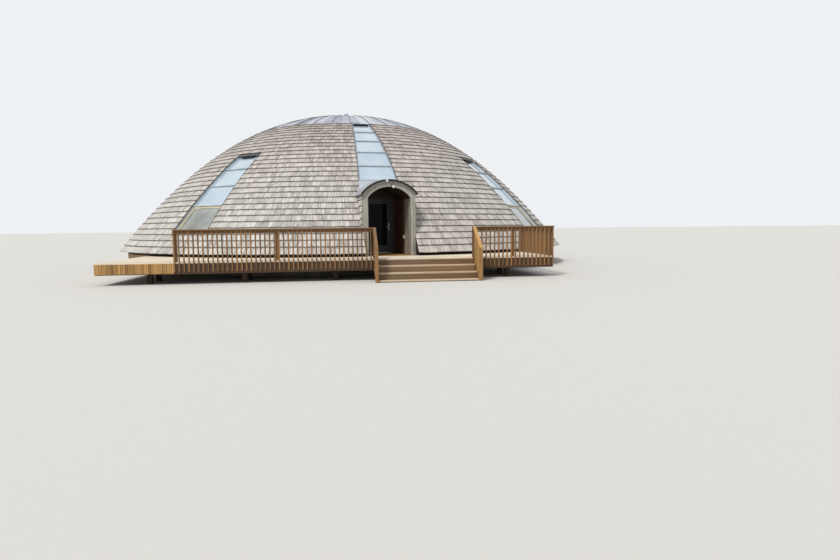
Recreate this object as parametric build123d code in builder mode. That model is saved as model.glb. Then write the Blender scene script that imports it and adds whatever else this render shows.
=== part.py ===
"""Shingled timber dome house with window strips, an arched entrance porch, a front deck, railings and steps.

Millimetres. The ground is at z = 0, +Z is up and the dome's axis is the Z axis. The deck's front faces -Y.
An azimuth is measured about the dome's axis from -Y towards +X, which is to the right seen from the front.
"""

from build123d import *
from math import asin, atan, cos, degrees, radians, sin, sqrt, tan
import os

os.makedirs("parts", exist_ok=True)

# Base: concrete slab, timber floor platform and the low curb that carries the shell
deck_height = 625.0
slab_height = 300.0
slab_inset = 300.0
eave_overhang = 270.0
floor_board_thickness = 22.0
curb_height = 110.0
curb_width = 180.0

# Dome shell: height over the eave falls off as a power of the radius
dome_radius = 9570.0
dome_rise = 5780.0
dome_power = 2.12
shell_thickness = 250.0
shell_steps = 9
rib_count = 32
bays_per_gore = 4
door_azimuth = 7.0

# Metal cap over the crown
cap_share = 0.3992
cap_steps = 6
cap_lip = 60.0
cap_sheet_thickness = 12.0
cap_seat_gap = 0.3
vent_cap_radius = 110.0
vent_cap_height = 90.0
vent_cap_taper = 40.0
vent_neck_radius = 60.0
vent_neck_height = 150.0

# Window strips: heights over the deck of sills and heads, and the shares of a strip at which its bars lie
front_sill_gap = 125.0
front_head_drop = 29.0
front_bar_shares = (0.239, 0.463, 0.66, 0.835)
side_window_sill = 760.0
side_transom = 1750.0
side_head = 3700.0
side_pane_count = 3
frame_width = 70.0
frame_recess = 1.0
bar_width = 45.0
bar_depth = 110.0
glass_recess = 45.0
glass_thickness = 24.0
sash_width = 75.0
sash_thickness = 60.0
seat_gap = 0.5
pane_end_gap = 8.0
sash_end_gap = 5.0
frame_end_gap = 0.6
head_box_width = 560.0
head_box_length = 130.0
head_box_height = 55.0

# Entrance porch: how far its face stands in from the eave, its depth, and the arch's outlines
porch_inset = 420.0
porch_depth = 2350.0
porch_half_width = 720.0
porch_spring_gap = 10.0
porch_rise = 370.0
cheek_thickness = 135.0
arch_spring_depth = 150.0
arch_crown_depth = 165.0
face_board_thickness = 50.0
face_board_reveal = 20.0
porch_roof_thickness = 45.0
porch_roof_overhang = 70.0
porch_roof_extra_angle = 4.0
flashing_thickness = 8.0
flashing_end_gap = 1.0
lamp_plate_width = 90.0
lamp_plate_height = 70.0
lamp_plate_depth = 30.0
lamp_head_radius = 45.0
lamp_head_length = 100.0
lamp_head_spacing = 170.0
lamp_head_stagger = 190.0
lamp_arm_radius = 14.0
lamp_roof_gap = 6.0

# Entrance door and its frame
door_wall_thickness = 100.0
door_offset = 70.0
leaf_width = 900.0
leaf_height = 1850.0
leaf_thickness = 45.0
leaf_gap = 8.0
stop_gap = 5.0
stop_width = 18.0
door_frame_width = 55.0
threshold_height = 25.0
threshold_overhang = 40.0
stile_width = 115.0
top_rail_width = 125.0
bottom_rail_width = 230.0
door_glass_thickness = 20.0
hinge_radius = 7.0
hinge_length = 120.0
hinge_plate = 36.0
hinge_plate_thickness = 5.0
hinge_running_gap = 0.3
hinge_heights = (250.0, 950.0, 1650.0)
handle_height = 950.0
handle_plate_width = 45.0
handle_plate_height = 240.0
handle_plate_thickness = 8.0
lever_length = 120.0
lever_radius = 9.0
lever_reach = 50.0

# Deck
deck_left_inset = 2370.0
deck_right_inset = 3650.0
deck_depth = 1600.0
board_thickness = 38.0
ring_gap = 0.3
rim_thickness = 45.0
rim_height = 297.0
joist_width = 45.0
joist_height = 185.0
joist_pitch = 600.0
beam_width = 90.0
beam_height = 140.0
front_beam_setback = 450.0
back_beam_gap = 300.0
post_width = 140.0
post_count = 5
skirt_thickness = 20.0
skirt_height = 280.0
skirt_board = 118.0
skirt_joint = 4.0

# Railings
rail_start = 5115.0
rail_height = 914.0
rail_cap_width = 140.0
rail_cap_thickness = 38.0
rail_board_height = 89.0
baluster_width = 38.0
baluster_pitch = 130.0
baluster_drop = 270.0
rail_post_width = 89.0
rail_wall_gap = 70.0

# Steps
stair_left = 535.0
stair_right = 3415.0
riser_height = 190.0
tread_run = 280.0
tread_count = 3
tread_thickness = 38.0
nosing = 20.0
riser_thickness = 20.0
stringer_width = 45.0
stringer_count = 3
handrail_width = 89.0
panel_board_width = 90.0
panel_board_gap = 8.0
panel_drop = 300.0
panel_rail_height = 90.0
stair_side_gap = 0.3

slab_radius = dome_radius - eave_overhang - slab_inset
platform_radius = dome_radius - eave_overhang
cap_radius = dome_radius * cap_share
porch_front = dome_radius - porch_inset
porch_back = porch_front - porch_depth
porch_spring = leaf_height + porch_spring_gap
porch_apex = porch_spring + porch_rise
outer_spring = porch_spring + arch_spring_depth
outer_apex = porch_apex + arch_crown_depth
front_sill = outer_apex + front_sill_gap
deck_left = dome_radius - deck_left_inset
deck_right = dome_radius - deck_right_inset
deck_front = platform_radius + deck_depth
beam_rows = (deck_front - front_beam_setback, platform_radius + back_beam_gap)
bay_angle = 360.0 / rib_count
gore_angle = bay_angle * bays_per_gore
gore_count = rib_count // bays_per_gore
half_bay = bay_angle / 2
eave_level = deck_height + curb_height
crown_level = eave_level + dome_rise


def dome_slope(radius):
    """Slope of the dome's skin from the horizontal, in radians, at a radius."""
    return atan(dome_rise * dome_power / dome_radius * (radius / dome_radius) ** (dome_power - 1))


def dome_level(radius):
    """Level of the dome's skin at a radius."""
    return eave_level + dome_rise * (1 - (radius / dome_radius) ** dome_power)


def radius_at(level):
    """Radius of the dome's skin at a level."""
    return dome_radius * (1 - (level - eave_level) / dome_rise) ** (1 / dome_power)


def skin_point(radius, depth):
    """Point at a depth below the skin, square to it, as (radius, level)."""
    slope = dome_slope(radius)
    return (radius - depth * sin(slope), dome_level(radius) - depth * cos(slope))


def skin_radii(low_radius, high_radius, steps):
    """Radii from a lower ring of the dome up to a higher one."""
    return [low_radius * (1 - step / steps) + high_radius * step / steps for step in range(steps + 1)]


def band_outline(low_radius, high_radius, steps, outer_depth, inner_depth):
    """Cross-section of a band of the shell between two rings."""
    radii = skin_radii(low_radius, high_radius, steps)
    outer = [skin_point(radius, outer_depth) for radius in radii]
    inner = [skin_point(radius, inner_depth) for radius in radii]
    if low_radius == dome_radius:
        inner[0] = (dome_radius - inner_depth / sin(dome_slope(dome_radius)), eave_level)
    return outer + inner[::-1]


def outward(azimuth):
    """Horizontal direction away from the dome's axis."""
    return Vector(sin(radians(azimuth)), -cos(radians(azimuth)), 0)


def sideways(azimuth):
    """Horizontal direction of rising azimuth."""
    return Vector(cos(radians(azimuth)), sin(radians(azimuth)), 0)


def radial_plane(azimuth):
    """Upright plane through the axis: x is the radius and y the level."""
    return Plane(origin=(0, 0, 0), x_dir=outward(azimuth), z_dir=sideways(azimuth) * -1)


def porch_plane(distance):
    """Upright plane across the porch: x runs to its right, y is the level and z points out."""
    return Plane(
        origin=outward(door_azimuth) * distance,
        x_dir=sideways(door_azimuth),
        z_dir=outward(door_azimuth),
    )


def pane_plane(azimuth, low_radius, high_radius, depth):
    """Plane along the slope of a flat pane, and the pane's length.

    Its x axis is level, its y axis runs up the slope and its z axis points out.
    """
    low = skin_point(low_radius, depth)
    high = skin_point(high_radius, depth)
    chord = cos(radians(half_bay))
    low_point = outward(azimuth) * (low[0] * chord) + Vector(0, 0, low[1])
    high_point = outward(azimuth) * (high[0] * chord) + Vector(0, 0, high[1])
    along = high_point - low_point
    middle = (low_point + high_point) * 0.5
    across = sideways(azimuth)
    return Plane(origin=middle, x_dir=across, z_dir=across.cross(along)), along.length


def clear_half_width(radius, depth):
    """Half the width between a window's side frames, at a depth below the skin."""
    distance = skin_point(radius, depth)[0] * cos(radians(half_bay))
    return distance * tan(radians(half_bay)) - frame_width / cos(radians(half_bay))


def pane_corners(low_radius, high_radius, depth, length, margin, end_margin):
    """Corners of a pane in its own plane, drawn in from the side frames and the bars by margins."""
    low = clear_half_width(low_radius, depth) - margin
    high = clear_half_width(high_radius, depth) - margin
    narrowing = (low - high) * end_margin / length
    low -= narrowing
    high += narrowing
    half = length / 2 - end_margin
    return [(-low, -half), (low, -half), (high, half), (-high, half)]


def beam(low_x, high_x, low_y, high_y, low_z, high_z):
    """Box between two corners, added to the part being built."""
    size = (high_x - low_x, high_y - low_y, high_z - low_z)
    with Locations(((low_x + high_x) / 2, (low_y + high_y) / 2, (low_z + high_z) / 2)):
        Box(*size)


def save(built, name):
    """Label a finished piece and write it."""
    built.part.label = name
    export_step(built.part, f"parts/{name}.step")


def arch_face(half_width, spring, apex, foot):
    """Arched outline standing on a foot level, with heights over the deck."""
    with BuildLine() as outline:
        Line((-half_width, foot), (half_width, foot))
        Line((half_width, foot), (half_width, deck_height + spring))
        ThreePointArc(
            (half_width, deck_height + spring), (0, deck_height + apex), (-half_width, deck_height + spring)
        )
        Line((-half_width, deck_height + spring), (-half_width, foot))
    make_face(outline.edges())


outer_half_width = porch_half_width + cheek_thickness
arch_rise = outer_apex - outer_spring
arch_radius = (outer_half_width**2 + arch_rise**2) / (2 * arch_rise)
arch_centre = deck_height + outer_apex - arch_radius
arch_half_angle = degrees(asin(outer_half_width / arch_radius)) + porch_roof_extra_angle


def roof_band(half_angle):
    """Curved strip that follows the arch's outer outline."""
    with BuildLine() as outline:
        CenterArc((0, arch_centre), arch_radius, 90 - half_angle, 2 * half_angle)
        CenterArc((0, arch_centre), arch_radius + porch_roof_thickness, 90 - half_angle, 2 * half_angle)
        for angle in (90 - half_angle, 90 + half_angle):
            across = cos(radians(angle))
            up = sin(radians(angle))
            Line(
                (arch_radius * across, arch_centre + arch_radius * up),
                (
                    (arch_radius + porch_roof_thickness) * across,
                    arch_centre + (arch_radius + porch_roof_thickness) * up,
                ),
            )
    make_face(outline.edges())


def cut_porch():
    """Cut the porch's passage, walls and roof out of the part being built."""
    reach = dome_radius - porch_back
    with BuildSketch(porch_plane(porch_back)) as opening:
        arch_face(outer_half_width, outer_spring, outer_apex, deck_height)
    extrude(opening.sketch, amount=reach, mode=Mode.SUBTRACT)
    with BuildSketch(porch_plane(porch_back)) as roof_section:
        roof_band(arch_half_angle)
    extrude(roof_section.sketch, amount=reach, mode=Mode.SUBTRACT)


# Concrete slab on the ground
with BuildPart() as foundation_slab:
    Cylinder(slab_radius, slab_height, align=(Align.CENTER, Align.CENTER, Align.MIN))
save(foundation_slab, "foundation_slab")

# Timber floor platform on the slab
platform_top = deck_height - floor_board_thickness
with BuildPart() as floor_platform:
    with BuildSketch(Plane.XY.offset(slab_height)):
        Circle(platform_radius)
    extrude(amount=platform_top - slab_height)
save(floor_platform, "floor_platform")

# Floor boarding, level with the deck
with BuildPart() as floor_boards:
    with BuildSketch(Plane.XY.offset(platform_top)):
        Circle(platform_radius)
    extrude(amount=floor_board_thickness)
save(floor_boards, "floor_boards")

# Low curb that carries the shell's foot, cut where the porch passes
with BuildPart() as base_curb:
    with BuildSketch(Plane.XY.offset(deck_height)):
        Circle(platform_radius)
        Circle(platform_radius - curb_width, mode=Mode.SUBTRACT)
    extrude(amount=curb_height)
    cut_porch()
save(base_curb, "base_curb")

# Shell gores between the window bays. The two beside the door also close the door bay below its skylight.
front_sill_radius = radius_at(deck_height + front_sill)
gore_outline = band_outline(dome_radius, cap_radius, shell_steps, 0, shell_thickness)
spandrel_steps = 4
spandrel_outline = band_outline(dome_radius, front_sill_radius, spandrel_steps, 0, shell_thickness)
for gore in range(gore_count):
    start = door_azimuth + half_bay + gore * gore_angle
    with BuildPart() as dome_gore:
        with BuildSketch(radial_plane(start)):
            Polygon(*gore_outline, align=None)
        revolve(axis=Axis.Z, revolution_arc=gore_angle - bay_angle)
        if gore == 0:
            with BuildSketch(radial_plane(door_azimuth)):
                Polygon(*spandrel_outline, align=None)
            revolve(axis=Axis.Z, revolution_arc=half_bay)
            cut_porch()
        if gore == gore_count - 1:
            with BuildSketch(radial_plane(door_azimuth - half_bay)):
                Polygon(*spandrel_outline, align=None)
            revolve(axis=Axis.Z, revolution_arc=half_bay)
            cut_porch()
    save(dome_gore, f"dome_shell_{gore + 1}")

# Shell pieces of the other window bays: over each skylight, and under each window
side_bays = [door_azimuth + gore * gore_angle for gore in range(1, gore_count)]
side_head_radius = radius_at(deck_height + side_head)
side_transom_radius = radius_at(deck_height + side_transom)
side_sill_radius = radius_at(deck_height + side_window_sill)
over_steps = 4
under_steps = 2
with BuildPart() as window_bay_heads:
    for azimuth in side_bays:
        with BuildSketch(radial_plane(azimuth - half_bay)):
            Polygon(*band_outline(side_head_radius, cap_radius, over_steps, 0, shell_thickness), align=None)
        revolve(axis=Axis.Z, revolution_arc=bay_angle)
save(window_bay_heads, "window_bay_heads")
with BuildPart() as window_bay_aprons:
    for azimuth in side_bays:
        with BuildSketch(radial_plane(azimuth - half_bay)):
            Polygon(*band_outline(dome_radius, side_sill_radius, under_steps, 0, shell_thickness), align=None)
        revolve(axis=Axis.Z, revolution_arc=bay_angle)
save(window_bay_aprons, "window_bay_aprons")

# Crown of the shell, under the metal cap
with BuildPart() as crown_shell:
    with BuildSketch(Plane.XZ):
        Polygon(*band_outline(cap_radius, 0, cap_steps, 0, shell_thickness), align=None)
    revolve(axis=Axis.Z)
save(crown_shell, "crown_shell")

# Sheet-metal cap, with its rim just over the top course and the door bay's skylight
with BuildPart() as metal_cap:
    cap_radii = [cap_radius + cap_lip, *skin_radii(cap_radius, 0, cap_steps)]
    cap_under = [skin_point(radius, -cap_seat_gap) for radius in cap_radii]
    cap_over = [skin_point(radius, -cap_sheet_thickness) for radius in cap_radii]
    with BuildSketch(Plane.XZ):
        Polygon(*cap_over, *cap_under[::-1], align=None)
    revolve(axis=Axis.Z)
save(metal_cap, "metal_cap")

# Small round vent on the cap
vent_foot = crown_level + cap_sheet_thickness
with BuildPart() as cap_vent:
    with BuildSketch(Plane.XY.offset(vent_foot)):
        Circle(vent_neck_radius)
    extrude(amount=vent_neck_height)
    with BuildSketch(Plane.XY.offset(vent_foot + vent_neck_height)):
        Circle(vent_cap_radius)
    extrude(amount=vent_cap_height, taper=vent_cap_taper)
save(cap_vent, "cap_vent")


def side_frames(azimuth, low_radius, high_radius, steps):
    """Two upright linings along a window bay, through the shell's whole depth."""
    outline = band_outline(low_radius - frame_end_gap, high_radius, steps, frame_recess, shell_thickness)
    for side in (-1, 1):
        with BuildSketch(radial_plane(azimuth + side * half_bay)) as section:
            Polygon(*outline, align=None)
        extrude(section.sketch, amount=side * frame_width)


def cross_bar(azimuth, radius):
    """Level bar across a window bay, between its side frames."""
    bar_frame = pane_plane(azimuth, radius + bar_width / 2, radius - bar_width / 2, bar_depth)[0]
    half = clear_half_width(radius, bar_depth)
    with BuildSketch(bar_frame) as section:
        Rectangle(2 * half, bar_width)
    extrude(section.sketch, amount=bar_depth)


def panes(azimuth, radii):
    """Flat panes between the cross bars of a strip."""
    for low_radius, high_radius in zip(radii[:-1], radii[1:]):
        depth = glass_recess + glass_thickness
        low = low_radius - bar_width / 2 * cos(dome_slope(low_radius))
        high = high_radius + bar_width / 2 * cos(dome_slope(high_radius))
        pane_frame, length = pane_plane(azimuth, low, high, depth)
        with BuildSketch(pane_frame) as pane:
            Polygon(*pane_corners(low, high, depth, length, seat_gap, pane_end_gap), align=None)
        extrude(pane.sketch, amount=glass_thickness)


# Door bay's skylight: frame with cross bars, panes and the dark box at its head
front_foot_level = deck_height + front_sill
front_rise = dome_level(cap_radius) - front_head_drop - front_foot_level
front_radii = [front_sill_radius - bar_width]
front_radii += [radius_at(front_foot_level + front_rise * share) for share in (*front_bar_shares, 1)]
front_frame_steps = 6
with BuildPart() as front_skylight_frame:
    side_frames(door_azimuth, front_sill_radius, cap_radius + frame_end_gap, front_frame_steps)
    for radius in front_radii:
        cross_bar(door_azimuth, radius)
save(front_skylight_frame, "front_skylight_frame")
with BuildPart() as front_skylight_glass:
    panes(door_azimuth, front_radii)
save(front_skylight_glass, "front_skylight_glass")

# Other skylights, over the side windows
side_frame_steps = 6
side_span = side_head_radius - side_transom_radius
side_radii = [side_transom_radius + side_span * pane / side_pane_count for pane in range(side_pane_count)]
side_radii.append(side_head_radius + bar_width)
with BuildPart() as side_skylight_frames:
    for azimuth in side_bays:
        side_frames(azimuth, side_sill_radius, side_head_radius, side_frame_steps)
        for radius in side_radii:
            cross_bar(azimuth, radius)
save(side_skylight_frames, "side_skylight_frames")
with BuildPart() as side_skylight_glass:
    for azimuth in side_bays:
        panes(azimuth, side_radii)
save(side_skylight_glass, "side_skylight_glass")

# Timber sashes and glass of the side windows
sash_low = side_sill_radius
sash_high = side_transom_radius + bar_width / 2 * cos(dome_slope(side_transom_radius))
sash_depth = glass_recess + sash_thickness
with BuildPart() as side_window_sashes:
    for azimuth in side_bays:
        sash_frame, sash_length = pane_plane(azimuth, sash_low, sash_high, sash_depth)
        with BuildSketch(sash_frame):
            Polygon(
                *pane_corners(sash_low, sash_high, sash_depth, sash_length, seat_gap, sash_end_gap),
                align=None,
            )
            Polygon(
                *pane_corners(sash_low, sash_high, sash_depth, sash_length, sash_width, sash_width),
                align=None,
                mode=Mode.SUBTRACT,
            )
        extrude(amount=sash_thickness)
save(side_window_sashes, "side_window_sashes")
with BuildPart() as side_window_glass:
    for azimuth in side_bays:
        sash_frame, sash_length = pane_plane(azimuth, sash_low, sash_high, sash_depth)
        glass_offset = (sash_thickness - glass_thickness) / 2
        with BuildSketch(sash_frame.offset(glass_offset)):
            Polygon(
                *pane_corners(sash_low, sash_high, sash_depth, sash_length, sash_width, sash_width),
                align=None,
            )
        extrude(amount=glass_thickness)
save(side_window_glass, "side_window_glass")

# Dark boxes at the skylights' heads
with BuildPart() as skylight_head_boxes:
    head_places = [(door_azimuth, front_radii[-1])]
    head_places += [(azimuth, side_head_radius + bar_width) for azimuth in side_bays]
    for azimuth, bar_radius in head_places:
        bar_frame = pane_plane(azimuth, bar_radius + bar_width / 2, bar_radius - bar_width / 2, bar_depth)[0]
        with BuildSketch(bar_frame.offset(bar_depth - glass_recess + seat_gap)):
            with Locations((0, -(bar_width + head_box_length) / 2)):
                Rectangle(head_box_width, head_box_length)
        extrude(amount=head_box_height)
save(skylight_head_boxes, "skylight_head_boxes")

# Porch walls, ceiling, face boards and roof
cheek_front = porch_front - face_board_thickness
with BuildPart() as porch_left_cheek:
    with BuildSketch(porch_plane(porch_back)):
        with Locations((-porch_half_width - cheek_thickness / 2, deck_height + porch_spring / 2)):
            Rectangle(cheek_thickness, porch_spring)
    extrude(amount=cheek_front - porch_back)
save(porch_left_cheek, "porch_left_cheek")
with BuildPart() as porch_right_cheek:
    with BuildSketch(porch_plane(porch_back)):
        with Locations((porch_half_width + cheek_thickness / 2, deck_height + porch_spring / 2)):
            Rectangle(cheek_thickness, porch_spring)
    extrude(amount=cheek_front - porch_back)
save(porch_right_cheek, "porch_right_cheek")
with BuildPart() as porch_ceiling:
    with BuildSketch(porch_plane(porch_back)):
        arch_face(outer_half_width, outer_spring, outer_apex, deck_height + porch_spring)
        with BuildSketch(mode=Mode.SUBTRACT):
            arch_face(porch_half_width, porch_spring, porch_apex, deck_height)
    extrude(amount=cheek_front - porch_back)
save(porch_ceiling, "porch_ceiling")
with BuildPart() as porch_face_boards:
    with BuildSketch(porch_plane(cheek_front)):
        arch_face(outer_half_width, outer_spring, outer_apex, deck_height)
        with BuildSketch(mode=Mode.SUBTRACT):
            inner_half_width = porch_half_width - face_board_reveal
            arch_face(inner_half_width, porch_spring, porch_apex - face_board_reveal, deck_height)
    extrude(amount=face_board_thickness)
save(porch_face_boards, "porch_face_boards")
with BuildPart() as porch_roof:
    with BuildSketch(porch_plane(porch_back)):
        roof_band(arch_half_angle)
    extrude(amount=porch_front + porch_roof_overhang - porch_back)
save(porch_roof, "porch_roof")

# Sheet-metal flashing between the porch roof and the door bay's skylight
flashing_foot_radius = skin_radii(dome_radius, front_sill_radius, spandrel_steps)[-2]
flashing_top_radius = front_sill_radius + flashing_end_gap
with BuildPart() as porch_flashing:
    with BuildSketch(radial_plane(door_azimuth - half_bay)):
        Polygon(
            *band_outline(flashing_foot_radius, flashing_top_radius, 1, -flashing_thickness, -cap_seat_gap),
            align=None,
        )
    revolve(axis=Axis.Z, revolution_arc=bay_angle)
    cut_porch()
save(porch_flashing, "porch_flashing")

# Twin-headed lamp at the arch's apex, on an arm that reaches past the roof's edge
lamp_reach = porch_roof_overhang + lamp_roof_gap
with BuildPart() as porch_lamp:
    plate_middle = deck_height + (porch_apex + outer_apex) / 2
    with BuildSketch(porch_plane(porch_front)):
        with Locations((0, plate_middle)):
            Rectangle(lamp_plate_width, lamp_plate_height)
    extrude(amount=lamp_plate_depth)
    with BuildSketch(porch_plane(porch_front)):
        with Locations((0, plate_middle)):
            Circle(lamp_arm_radius)
    extrude(amount=lamp_reach + lamp_arm_radius)
    with BuildSketch(porch_plane(porch_front + lamp_reach)):
        with Locations((0, plate_middle)):
            Rectangle(
                sqrt(lamp_head_spacing**2 + lamp_head_stagger**2),
                2 * lamp_arm_radius,
                rotation=-degrees(atan(lamp_head_stagger / lamp_head_spacing)),
            )
    extrude(amount=2 * lamp_arm_radius)
    with BuildSketch(porch_plane(porch_front + lamp_reach)):
        for side in (-1, 1):
            with Locations((side * lamp_head_spacing / 2, plate_middle - side * lamp_head_stagger / 2)):
                Circle(lamp_head_radius)
    extrude(amount=lamp_head_length)
save(porch_lamp, "porch_lamp")

# Wall at the porch's back, with the door's frame, threshold, leaf, glass, hinges and handle
leaf_left = door_offset - leaf_width / 2
leaf_right = door_offset + leaf_width / 2
leaf_foot = deck_height + threshold_height + leaf_gap
leaf_top = leaf_foot + leaf_height
frame_left = leaf_left - leaf_gap - door_frame_width
frame_right = leaf_right + leaf_gap + door_frame_width
frame_top = leaf_top + leaf_gap + door_frame_width
door_wall_front = porch_back + door_wall_thickness


def upright(low_x, high_x, low_z, high_z, mode=Mode.ADD):
    """Rectangle in a plane across the porch."""
    with Locations(((low_x + high_x) / 2, (low_z + high_z) / 2)):
        Rectangle(high_x - low_x, high_z - low_z, mode=mode)


with BuildPart() as door_wall:
    with BuildSketch(porch_plane(porch_back)):
        arch_face(porch_half_width, porch_spring, porch_apex, deck_height)
        upright(frame_left, frame_right, deck_height, frame_top, mode=Mode.SUBTRACT)
    extrude(amount=door_wall_thickness)
save(door_wall, "door_wall")
with BuildPart() as door_frame:
    with BuildSketch(porch_plane(porch_back)):
        upright(frame_left, frame_right, deck_height, frame_top)
        upright(
            leaf_left - leaf_gap, leaf_right + leaf_gap, deck_height, leaf_top + leaf_gap, mode=Mode.SUBTRACT
        )
    extrude(amount=door_wall_thickness)
    stop_face = porch_back + leaf_thickness + stop_gap
    with BuildSketch(porch_plane(stop_face)):
        upright(frame_left, frame_right, deck_height, frame_top)
        upright(
            leaf_left - leaf_gap + stop_width,
            leaf_right + leaf_gap - stop_width,
            deck_height,
            leaf_top + leaf_gap - stop_width,
            mode=Mode.SUBTRACT,
        )
    extrude(amount=door_wall_front - stop_face)
save(door_frame, "door_frame")
with BuildPart() as door_threshold:
    with BuildSketch(porch_plane(porch_back)):
        upright(
            leaf_left - leaf_gap, leaf_right + leaf_gap, deck_height, deck_height + threshold_height
        )
    extrude(amount=stop_face - porch_back)
    with BuildSketch(porch_plane(stop_face)):
        upright(
            leaf_left - leaf_gap + stop_width,
            leaf_right + leaf_gap - stop_width,
            deck_height,
            deck_height + threshold_height,
        )
    extrude(amount=door_wall_front + threshold_overhang - stop_face)
save(door_threshold, "door_threshold")

glass_left = leaf_left + stile_width
glass_right = leaf_right - stile_width
glass_foot = leaf_foot + bottom_rail_width
glass_top = leaf_top - top_rail_width
with BuildPart() as door_leaf:
    with BuildSketch(porch_plane(porch_back)):
        upright(leaf_left, leaf_right, leaf_foot, leaf_top)
        upright(glass_left, glass_right, glass_foot, glass_top, mode=Mode.SUBTRACT)
    extrude(amount=leaf_thickness)
save(door_leaf, "door_leaf")
with BuildPart() as door_glass:
    with BuildSketch(porch_plane(porch_back + (leaf_thickness - door_glass_thickness) / 2)):
        upright(glass_left, glass_right, glass_foot, glass_top)
    extrude(amount=door_glass_thickness)
save(door_glass, "door_glass")

hinge_side = leaf_left - leaf_gap
hinge_distance = porch_back - hinge_plate_thickness - hinge_plate_thickness
knuckle = hinge_length / 3
with BuildPart() as door_hinge_leaves:
    for height in hinge_heights:
        with BuildSketch(Plane.XY.offset(deck_height + height - knuckle / 2 + hinge_running_gap)):
            with Locations(outward(door_azimuth) * hinge_distance + sideways(door_azimuth) * hinge_side):
                Circle(hinge_radius)
        extrude(amount=knuckle - 2 * hinge_running_gap)
        low = deck_height + height - knuckle / 2 + hinge_running_gap
        with BuildSketch(porch_plane(porch_back - hinge_plate_thickness)):
            upright(hinge_side, leaf_left + hinge_plate, low, low + knuckle - 2 * hinge_running_gap)
        extrude(amount=hinge_plate_thickness)
save(door_hinge_leaves, "door_hinge_leaves")
with BuildPart() as door_hinge_plates:
    for height in hinge_heights:
        for low in (deck_height + height - knuckle * 1.5, deck_height + height + knuckle / 2):
            with BuildSketch(Plane.XY.offset(low)):
                with Locations(outward(door_azimuth) * hinge_distance + sideways(door_azimuth) * hinge_side):
                    Circle(hinge_radius)
            extrude(amount=knuckle)
            with BuildSketch(porch_plane(porch_back - hinge_plate_thickness)):
                upright(hinge_side - hinge_plate, hinge_side, low, low + knuckle)
            extrude(amount=hinge_plate_thickness)
save(door_hinge_plates, "door_hinge_plates")

handle_side = leaf_right - stile_width / 2
handle_level = deck_height + handle_height
with BuildPart() as door_handle:
    for face, direction in ((porch_back + leaf_thickness, 1), (porch_back, -1)):
        with BuildSketch(porch_plane(face)):
            with Locations((handle_side, handle_level)):
                Rectangle(handle_plate_width, handle_plate_height)
        extrude(amount=direction * handle_plate_thickness)
        with BuildSketch(porch_plane(face)):
            with Locations((handle_side, handle_level)):
                Circle(lever_radius)
        extrude(amount=direction * lever_reach)
        with BuildSketch(porch_plane(face + direction * (lever_reach - lever_radius))):
            upright(
                handle_side - lever_length,
                handle_side + lever_radius,
                handle_level - lever_radius,
                handle_level + lever_radius,
            )
        extrude(amount=direction * 2 * lever_radius)
save(door_handle, "door_handle")

# Deck surface, cut round the floor platform
board_foot = deck_height - board_thickness
clear_radius = platform_radius + ring_gap
with BuildPart() as deck_surface:
    with BuildSketch(Plane.XY.offset(board_foot)):
        with Locations(((deck_right - deck_left) / 2, -deck_front / 2)):
            Rectangle(deck_right + deck_left, deck_front)
        Circle(clear_radius, mode=Mode.SUBTRACT)
        Rectangle(3 * deck_front, 2 * sqrt(clear_radius**2 - max(deck_left, deck_right) ** 2), mode=Mode.SUBTRACT)
    extrude(amount=board_thickness)
save(deck_surface, "deck_surface")


def ring_reach(low_x, high_x):
    """How far from the X axis a piece between two x places has to stop, clear of the platform."""
    nearest = 0 if low_x < 0 < high_x else min(abs(low_x), abs(high_x))
    return sqrt(clear_radius**2 - nearest**2)


# Rim joists round the deck's free edges
rim_foot = board_foot - rim_height
with BuildPart() as deck_rim:
    beam(-deck_left, deck_right, -deck_front, -deck_front + rim_thickness, rim_foot, board_foot)
    for low in (-deck_left, deck_right - rim_thickness):
        high = low + rim_thickness
        beam(low, high, -deck_front, -ring_reach(low, high), rim_foot, board_foot)
save(deck_rim, "deck_rim")

# Joists from the front rim back to the platform
joist_span = deck_right + deck_left - 2 * rim_thickness
joist_count = int(joist_span // joist_pitch)
with BuildPart() as deck_joists:
    for joist in range(joist_count):
        middle = -deck_left + rim_thickness + joist_span * (joist + 0.5) / joist_count
        low = middle - joist_width / 2
        high = middle + joist_width / 2
        joist_front = -deck_front + rim_thickness
        beam(low, high, joist_front, -ring_reach(low, high), board_foot - joist_height, board_foot)
save(deck_joists, "deck_joists")

# Two beams under the joists, and their posts on the ground
beam_top = board_foot - joist_height
with BuildPart() as deck_beams:
    for row in beam_rows:
        beam(
            -deck_left + rim_thickness,
            deck_right - rim_thickness,
            -row - beam_width / 2,
            -row + beam_width / 2,
            beam_top - beam_height,
            beam_top,
        )
save(deck_beams, "deck_beams")
with BuildPart() as deck_posts:
    for row in beam_rows:
        for post in range(post_count):
            middle = -deck_left + (deck_left + deck_right) * (post + 0.5) / post_count
            beam(
                middle - post_width / 2,
                middle + post_width / 2,
                -row - post_width / 2,
                -row + post_width / 2,
                0,
                beam_top - beam_height,
            )
save(deck_posts, "deck_posts")

# Upright skirt boards on the deck's left end, where there is no railing
skirt_top = deck_height - board_thickness
with BuildPart() as deck_skirt:
    front_span = deck_left - rail_start
    front_boards = int(front_span // (skirt_board + skirt_joint))
    for board in range(front_boards):
        low = -deck_left + front_span * board / front_boards
        beam(
            low,
            low + front_span / front_boards - skirt_joint,
            -deck_front - skirt_thickness,
            -deck_front,
            skirt_top - skirt_height,
            skirt_top,
        )
    side_end = ring_reach(-deck_left, -deck_left + rim_thickness)
    side_span_y = deck_front - side_end
    side_boards = int(side_span_y // (skirt_board + skirt_joint))
    for board in range(side_boards):
        low = -deck_front + side_span_y * board / side_boards
        beam(
            -deck_left - skirt_thickness,
            -deck_left,
            low,
            low + side_span_y / side_boards - skirt_joint,
            skirt_top - skirt_height,
            skirt_top,
        )
save(deck_skirt, "deck_skirt")

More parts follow.
